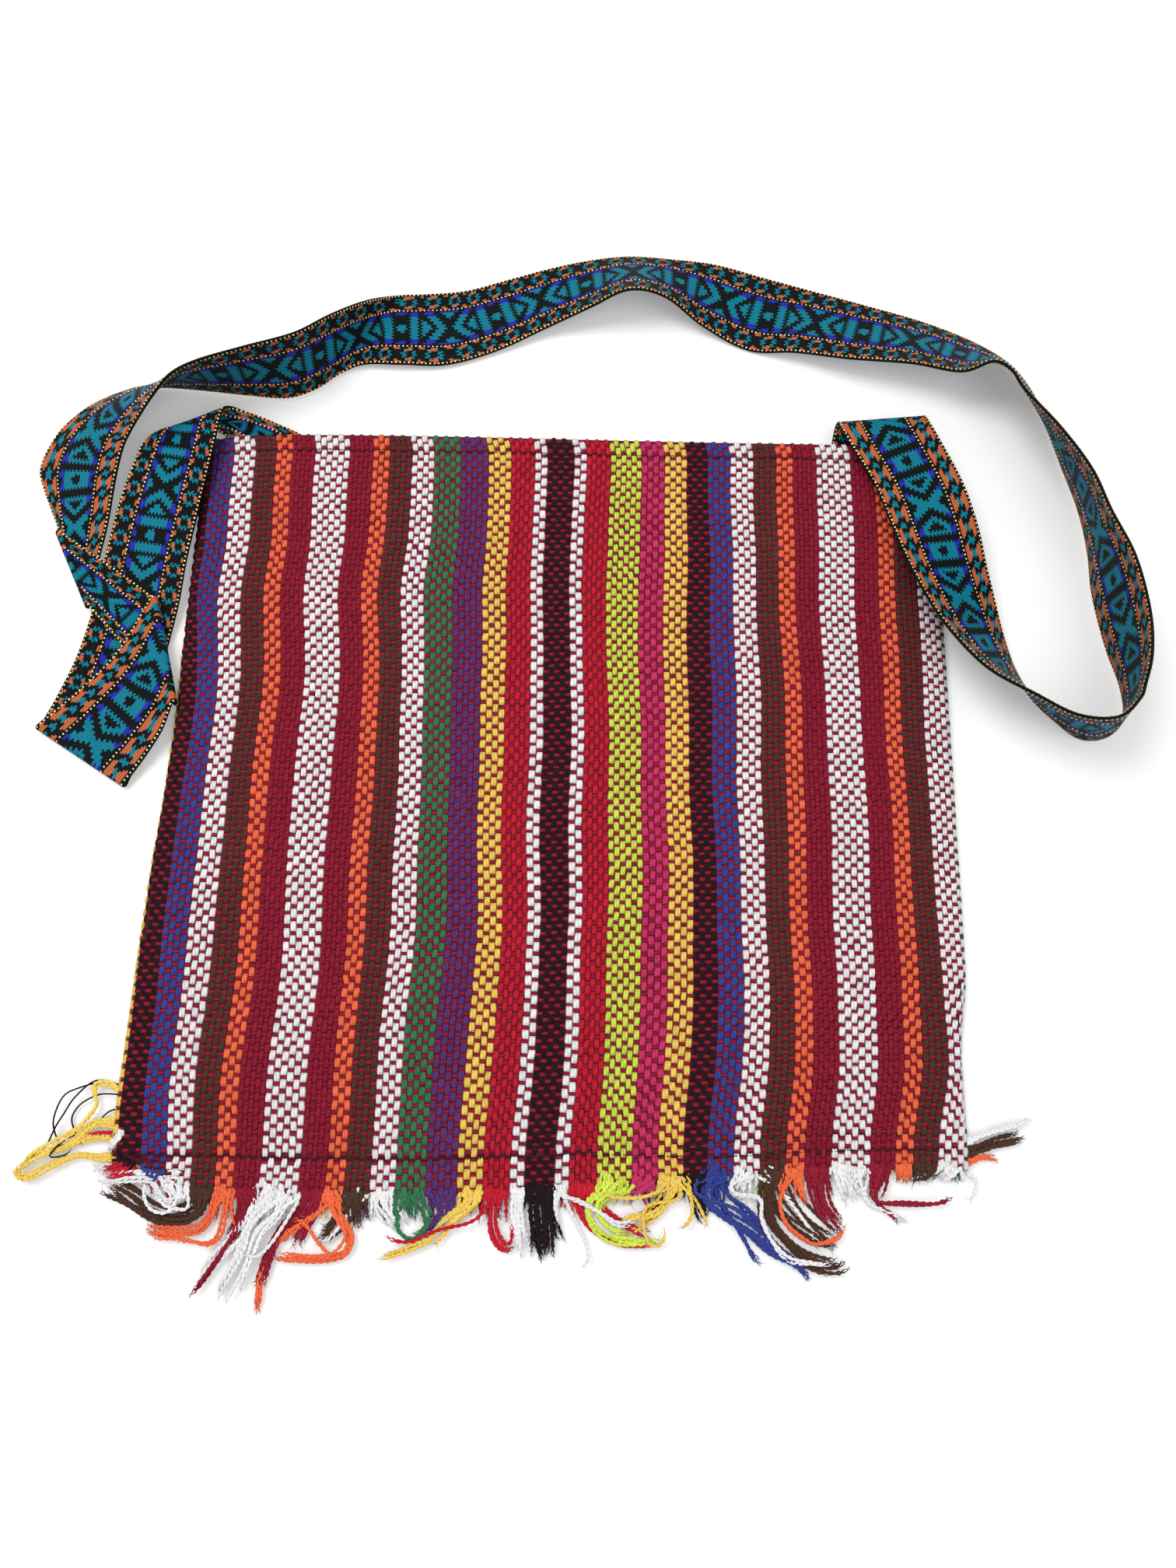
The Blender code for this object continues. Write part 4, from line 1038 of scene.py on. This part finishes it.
def ribbon_material(name, reverse):
    """A jacquard ribbon: its figures are thread floats that lie along it on a black ground."""
    made, tree, shader = new_material(name)
    along = attribute(tree, "along")
    over = attribute(tree, "over")
    place = tree.nodes.new("ShaderNodeTexCoord").outputs["Object"]
    ragged = noise(tree, place, 1500.0, 1.0) - 0.5
    column = over.steps(0.8) + 0.4
    tooth = (over * (math.pi / 0.8)).sine().over(0.0) * 0.8 - 0.4
    row = (along + tooth + ragged * 0.6).steps(0.4) + 0.2
    a = (row - MOTIF_START).repeat(MOTIF)
    b = (column - STRAP_WIDTH / 2).size()
    figure, blue = ribbon_figure(a, b)
    band = b.under(HALF_BAND)
    if reverse:
        figure = (figure * -1.0 + 1.0) * band
    f = (row - FLOWER_START).repeat(FLOWER_PITCH)
    g = (b - FLOWER_LINE).size()
    teal, orange = ribbon_flowers(f, g, reverse)
    side = (band * -1.0 + 1.0) * b.under(16.4)
    colour = mix_colour(tree, figure, RIBBON["ground"], RIBBON["teal"])
    colour = mix_colour(tree, figure * blue, colour, RIBBON["blue"])
    colour = mix_colour(tree, teal * side, colour, RIBBON["teal"])
    colour = mix_colour(tree, orange * side, colour, RIBBON["orange"])
    threads = (over * (2 * math.pi / 0.8)).sine() * 0.5 + 0.5
    ribs = (along * (2 * math.pi / 0.62)).sine() * 0.5 + 0.5
    grain = noise(tree, place, 2400.0, 3.0)
    raised = (figure + (teal + orange) * side).limit()
    shade = threads * 0.45 + grain * 0.55
    lit = mix_colour(tree, (shade * 0.9).limit(), (0.38, 0.38, 0.38), (1.35, 1.35, 1.35))
    tint = tree.nodes.new("ShaderNodeMix")
    tint.data_type = "RGBA"
    tint.blend_type = "MULTIPLY"
    tint.inputs[0].default_value = 1.0
    tree.links.new(colour, tint.inputs[6])
    tree.links.new(lit, tint.inputs[7])
    tree.links.new(tint.outputs[2], shader.inputs["Base Color"])
    height = raised * 0.9 + threads * 0.35 + (raised * -1.0 + 1.0) * ribs * 0.5 + grain * 0.2
    add_bump(tree, shader, height, 0.00028, 0.9)
    shader.inputs["Roughness"].default_value = 0.52
    shader.inputs["Specular IOR Level"].default_value = 0.07
    return made


def make_picots():
    """The gold thread's small knots, in four lines on each side of the strap."""
    points, out, along, shares = strap_sides()
    heap = Heap()
    ring = np.arange(6) * (math.pi / 3)
    rim = np.stack([np.cos(ring) * 0.46, np.sin(ring) * 0.46, 0 * ring - 0.05], axis=1)
    shape = np.concatenate([[[0, 0, 0.42]], rim]) * MM
    after = (np.arange(6) + 1) % 6
    faces = np.stack([0 * after, np.arange(6) + 1, after + 1], axis=1)
    for line in PICOT_LINES:
        share = line / STRAP_WIDTH
        column = np.searchsorted(shares, share)
        part = (share - shares[column - 1]) / (shares[column] - shares[column - 1])
        lane = points[:, column - 1] * (1 - part) + points[:, column] * part
        normal = unit(out[:, column])
        steps = np.concatenate([[0.0], np.cumsum(np.linalg.norm(np.diff(lane, axis=0), axis=1))])
        marks = np.arange(0.5 * PICOT_PITCH * MM, steps[-1], PICOT_PITCH * MM)
        spots = np.stack([np.interp(marks, steps, lane[:, axis]) for axis in range(3)], axis=1)
        ups = unit(np.stack([np.interp(marks, steps, normal[:, axis]) for axis in range(3)], axis=1))
        ahead = unit(np.gradient(spots, axis=0))
        sideways = np.cross(ups, ahead)
        for side in (1, -1):
            base = spots + ups * side * STRAP_THICKNESS * 0.47
            copies = base[:, None] + ahead[:, None] * shape[None, :, :1] + sideways[:, None] * shape[None, :, 1:2]
            copies = copies + side * ups[:, None] * shape[None, :, 2:]
            tone = np.clip(0.5 + RNG.normal(0.0, 0.3, len(base)), 0.0, 1.0)[:, None]
            order = faces if side > 0 else faces[:, ::-1]
            heap.add(copies, order, tone, shape[None, :, 0] / MM, np.ones((1, len(shape))))
    return heap.build("strap_picots", gold_material())


def gold_material():
    """Pale gold thread with a soft shine."""
    made, tree, shader = new_material("gold_thread")
    tone = attribute(tree, "tone")
    colour = mix_colour(tree, tone.limit(), (0.55, 0.36, 0.09), (0.92, 0.80, 0.36))
    tree.links.new(colour, shader.inputs["Base Color"])
    place = tree.nodes.new("ShaderNodeTexCoord").outputs["Object"]
    add_bump(tree, shader, noise(tree, place, 3000.0, 2.0), 0.0001)
    shader.inputs["Roughness"].default_value = 0.38
    shader.inputs["Specular IOR Level"].default_value = 0.6
    return made


# The fringe

def smooth_path(points):
    """An even smooth line through a path's points, in metres."""
    points = np.array(points, dtype=float) * MM
    ends = np.concatenate([2 * points[:1] - points[1:2], points, 2 * points[-1:] - points[-2:-1]])
    share = np.linspace(0.0, 1.0, 12, endpoint=False)[:, None]
    pieces = []
    for before, start, end, after in zip(ends, ends[1:], ends[2:], ends[3:]):
        bend = (2 * before - 5 * start + 4 * end - after) * share ** 2
        twist = (3 * start - before - 3 * end + after) * share ** 3
        pieces.append((2 * start + (end - before) * share + bend + twist) / 2)
    line = np.concatenate([*pieces, points[-1:]])
    arc = lengths_along(line)
    marks = np.linspace(0.0, arc[-1], max(6, round(arc[-1] / STRAND_STEP)))
    return np.stack([np.interp(marks, arc, line[:, axis]) for axis in range(2)], axis=1)


def lengths_along(line):
    """The distance along a line at each of its points."""
    return np.concatenate([[0.0], np.cumsum(np.linalg.norm(np.diff(line, axis=0), axis=1))])


def bunch(heap, start, width, count, spread, height, path):
    """Yarn ends that leave the cloth side by side, gather and lie along one path."""
    middle = smooth_path(path)
    ahead = unit(np.gradient(middle, axis=0))
    sideways = np.stack([-ahead[:, 1], ahead[:, 0]], axis=1)
    arc = lengths_along(middle)
    gather = ease(arc / (8.0 * MM))
    for index in range(count):
        part = (index + 0.5) / count - 0.5
        last = part * 0.6 + RNG.uniform(-0.25, 0.25)
        phase = RNG.uniform(0.0, 2 * math.pi)
        wave = 0.45 * MM * np.sin(phase + arc / (RNG.uniform(3.5, 6.5) * MM)) * gather
        offset = part * width * (1 - gather) + last * spread * MM * gather + wave
        flat = middle + sideways * offset[:, None] + start[:2]
        floor = PLY_RADIUS + PLY_OFFSET + (height + RNG.uniform(0.0, 0.6)) * MM
        ripple = 0.25 * MM * (1 + np.sin(phase * 1.7 + arc / (4.1 * MM))) * gather
        z = start[2] + (floor - start[2]) * gather + ripple
        keep = max(6, round(len(flat) * RNG.uniform(0.80, 1.0)))
        strand(heap, np.concatenate([flat, z[:, None]], axis=1)[:keep])


def tube(heap, line, radius, sides, tone, taper, shift=0.0):
    """A thin tube along a line, closed at both ends by its narrowing."""
    ahead = unit(np.gradient(line, axis=0))
    level = unit(np.cross(ahead, np.array([[0.0, 0.0, 1.0]]) + 0 * ahead))
    rise = np.cross(level, ahead)
    angle = np.arange(sides) * (2 * math.pi / sides)
    share = np.linspace(0.0, 1.0, len(line))
    size = radius * np.clip(np.minimum((1 - share) * len(line) / taper, 1.0), 0.12, 1.0)
    ring = level[:, None] * np.cos(angle)[None, :, None] + rise[:, None] * np.sin(angle)[None, :, None]
    points = (line[:, None] + ring * size[:, None, None]).reshape(1, -1, 3)
    run = np.arange(len(line))[:, None] * 0.5 + angle[None, :] / (2 * math.pi) + shift
    heap.add(points, grid_faces(len(line), sides, wrap=True), np.array([[tone]]),
             run.reshape(1, -1), np.ones((1, points.shape[1])))


def strand(heap, line):
    """A two-ply yarn along a line, with its last bit frayed."""
    ahead = unit(np.gradient(line, axis=0))
    level = unit(np.cross(ahead, np.array([[0.0, 0.0, 1.0]]) + 0 * ahead))
    rise = np.cross(level, ahead)
    share = np.linspace(0.0, 1.0, len(line))
    arc = lengths_along(line)
    turn = RNG.uniform(0, 2 * math.pi) + arc * (2 * math.pi / PLY_PITCH)
    tone = float(np.clip(0.5 + RNG.normal(0.0, 0.2), 0.0, 1.0))
    swell = 1.30 - 0.30 * ease(arc / (6.0 * MM))
    loose = swell * (1 + 0.9 * ease((share - 0.85) / 0.15))
    for side in (0.0, math.pi):
        wide = (PLY_OFFSET * loose * np.cos(turn + side))[:, None]
        high = (PLY_OFFSET * np.sin(turn + side))[:, None]
        tube(heap, line + level * wide + rise * high, PLY_RADIUS * swell, STRAND_SIDES, tone, 3.0)
    for _ in range(2):
        direction = ahead[-1] + level[-1] * RNG.normal(0.0, 0.35)
        reach = RNG.uniform(1.2, 3.0) * MM
        along = np.linspace(0.0, 1.0, 5)[:, None]
        bend = level[-1] * RNG.normal(0.0, 0.25) * along ** 2
        hair = line[-2] + (unit(direction[None])[0] * along + bend) * reach
        hair[:, 2] = np.maximum(hair[:, 2] * (1 - along[:, 0] * 0.7), FIBRE_RADIUS)
        tube(heap, hair, FIBRE_RADIUS, 3, tone, 2.0)


def short_ends(heaps):
    """The short yarn ends of both layers that fill the gaps under the woven end."""
    layers = [(colour, place, 3.2, 0.7) for colour, place, _ in front_yarns() if CORNER_REACH < place < WARP_WIDTH]
    layers += [(colour, -place - FOLD_LENGTH, 1.0, 0.1) for colour, place, _ in back_yarns()]
    limit = sum(width for _, width, _ in STRIPES[:FIRST_SHORT_STRIPE - 1]) * MM
    left, right = left_edge(BOTTOM_Y) + FOLD_RADIUS, right_edge(BOTTOM_Y) - FOLD_RADIUS
    for colour, place, z, height in layers:
        x = left + place / WARP_WIDTH * (right - left)
        length = (SHORT_END if place < limit else RIGHT_END) * RNG.uniform(0.7, 1.2)
        lean = RNG.normal(0.0, 1.4)
        start = np.array([x, row_place(x, 0.0) + 1.0 * MM, z * MM])
        bunch(heaps[colour], start, 1.2 * MM, 1, 1.0, height, [(0, 0), (lean * 0.3, -length / 2), (lean, -length)])


def make_fringe():
    """The yarn ends past the woven end and at the two sides, one piece for each colour."""
    heaps = {colour: Heap() for colour in YARN if colour not in ("weft", "thread")}
    left, right = left_edge(BOTTOM_Y) + FOLD_RADIUS, right_edge(BOTTOM_Y) - FOLD_RADIUS
    begins = np.cumsum([0.0] + [width for _, width, _ in STRIPES])
    for number, count, spread, height, path in BUNCHES:
        colour, width, _ = STRIPES[number - 1]
        x = left + (begins[number - 1] + width / 2) * MM / WARP_WIDTH * (right - left)
        start = np.array([x, row_place(x, 0.0) + 1.5 * MM, 3.6 * MM])
        bunch(heaps[colour], start, width * 0.85 * MM, count, spread, height, path)
    short_ends(heaps)
    for tufts, edge in ((LEFT_TUFTS, left_edge), (RIGHT_TUFTS, right_edge)):
        for colour, count, spread, height, y, path in tufts:
            start = np.array([edge(y * MM), y * MM, max(2.2, height) * MM])
            bunch(heaps[colour], start, spread * MM, count, spread, height, path)
    for y, path in THIN_THREADS:
        flat = smooth_path(path) + np.array([left_edge(y * MM), y * MM])
        arc = lengths_along(flat)
        z = (2.4 + 1.1 * np.sin(arc / (7.0 * MM) + y)) * MM
        tube(heaps["black"], np.concatenate([flat, z[:, None]], axis=1), THIN_RADIUS, 5, 0.5, 3.0)
    pieces = []
    for colour, heap in heaps.items():
        made = heap.build("fringe_" + colour, yarn(colour))
        nodes = ["fringe_{:02d}_{}".format(index + 1, stripe[0])
                 for index, stripe in enumerate(STRIPES) if stripe[0] == colour]
        nodes += {"yellow": ["fringe_left_side"], "brown": ["fringe_right_side"]}.get(colour, [])
        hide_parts(*nodes)
        pieces.append(made)
    return pieces


# Sewing thread

def make_stitches(name, node, line_at):
    """A row of stitches that dip in and out of the cloth."""
    share = np.linspace(0.012, 0.988, 700)
    level = BOTTOM_Y if "bottom" in name else MOUTH_Y
    x = left_edge(level) + FOLD_RADIUS
    x = x + share * (right_edge(level) - FOLD_RADIUS - x)
    y = line_at(x) + 0.22 * MM * np.sin(x / (3.1 * MM))
    wave = np.sin(x * (2 * math.pi / (3.6 * MM)))
    z = smooth_height(x, y) - SEAM_DIP + 0.02 * MM + 0.34 * MM * np.minimum(wave, 0.55)
    heap = Heap()
    tube(heap, np.stack([x, y, z], axis=1), STITCH_RADIUS, 6, 0.5, 3.0)
    made = heap.build(name, yarn("thread"))
    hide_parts(node)
    return made


# Camera, floor and light

CAMERA_TILT = math.radians(15.15)
CAMERA_ROLL = math.radians(1.1)
CAMERA_DISTANCE = 0.4351
CAMERA_X = 0.0105
CAMERA_Y_SHIFT = 0.003
FOCAL_SHARE = 1513.0 / 1512.0


def make_camera():
    """The photograph's view: from above, a little from the bag's lower end."""
    data = bpy.data.cameras.new("camera")
    data.sensor_fit = "HORIZONTAL"
    data.sensor_width = 36.0
    data.lens = 36.0 * FOCAL_SHARE
    data.clip_start = 0.01
    camera = bpy.data.objects.new("camera", data)
    place = (CAMERA_X, -CAMERA_DISTANCE * math.sin(CAMERA_TILT) + CAMERA_Y_SHIFT,
             CAMERA_DISTANCE * math.cos(CAMERA_TILT))
    turn = Matrix.Rotation(CAMERA_TILT, 4, "X") @ Matrix.Rotation(CAMERA_ROLL, 4, "Z")
    camera.matrix_world = Matrix.Translation(place) @ turn
    bpy.context.scene.collection.objects.link(camera)
    bpy.context.scene.camera = camera


def make_floor():
    """A wide white floor that keeps the object's soft shadow."""
    made = mesh_object("floor", [(-6, -6, 0), (6, -6, 0), (6, 6, 0), (-6, 6, 0)], [[[0, 1, 2, 3]]])
    made.location.z = -0.0002
    material, tree, shader = new_material("floor")
    shader.inputs["Base Color"].default_value = (0.72, 0.72, 0.72, 1.0)
    shader.inputs["Roughness"].default_value = 0.9
    shader.inputs["Specular IOR Level"].default_value = 0.1
    path = tree.nodes.new("ShaderNodeLightPath")
    seen = Field(tree, path.outputs["Is Camera Ray"])
    shader.inputs["Emission Color"].default_value = (1.0, 1.0, 1.0, 1.0)
    tree.links.new((seen * 0.22).socket, shader.inputs["Emission Strength"])
    made.data.materials.append(material)


def make_light():
    """Plain soft studio light from above."""
    world = bpy.data.worlds.new("world")
    bpy.context.scene.world = world
    world.use_nodes = True
    world.node_tree.nodes["Background"].inputs[0].default_value = (1.0, 1.0, 1.0, 1.0)
    world.node_tree.nodes["Background"].inputs[1].default_value = 0.66
    for name, place, size, power in (("key", (-0.45, 0.35, 1.1), 0.7, 9.2), ("fill", (0.6, -0.5, 1.2), 1.0, 5.4)):
        data = bpy.data.lights.new(name, "AREA")
        data.shape = "DISK"
        data.size = size
        data.energy = power
        lamp = bpy.data.objects.new(name, data)
        lamp.location = place
        lamp.rotation_euler = (Matrix.Identity(3)).to_euler()
        direction = -lamp.location
        lamp.rotation_euler = direction.to_track_quat("-Z", "Y").to_euler()
        bpy.context.scene.collection.objects.link(lamp)


make_camera()
make_floor()
make_light()
bpy.context.scene.view_settings.view_transform = "Standard"
cloth = make_cloth()
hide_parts("bag_body")
woven = make_weave()
fringe = make_fringe()
hem = make_stitches("hem_thread", "hem_stitching", lambda x: MOUTH_Y - HEM_DEPTH + 0 * x)
bottom = make_stitches("bottom_thread", "bottom_stitching", stitch_line)
strap = make_strap()
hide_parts("strap")
picots = make_picots()
for piece in [cloth, *woven, *fringe, hem, bottom, strap, picots]:
    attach(piece, "root")
for name in ("strap_tack_left", "strap_tack_right"):
    tack = bpy.data.objects[name]
    tack.material_slots[0].material = yarn("thread")
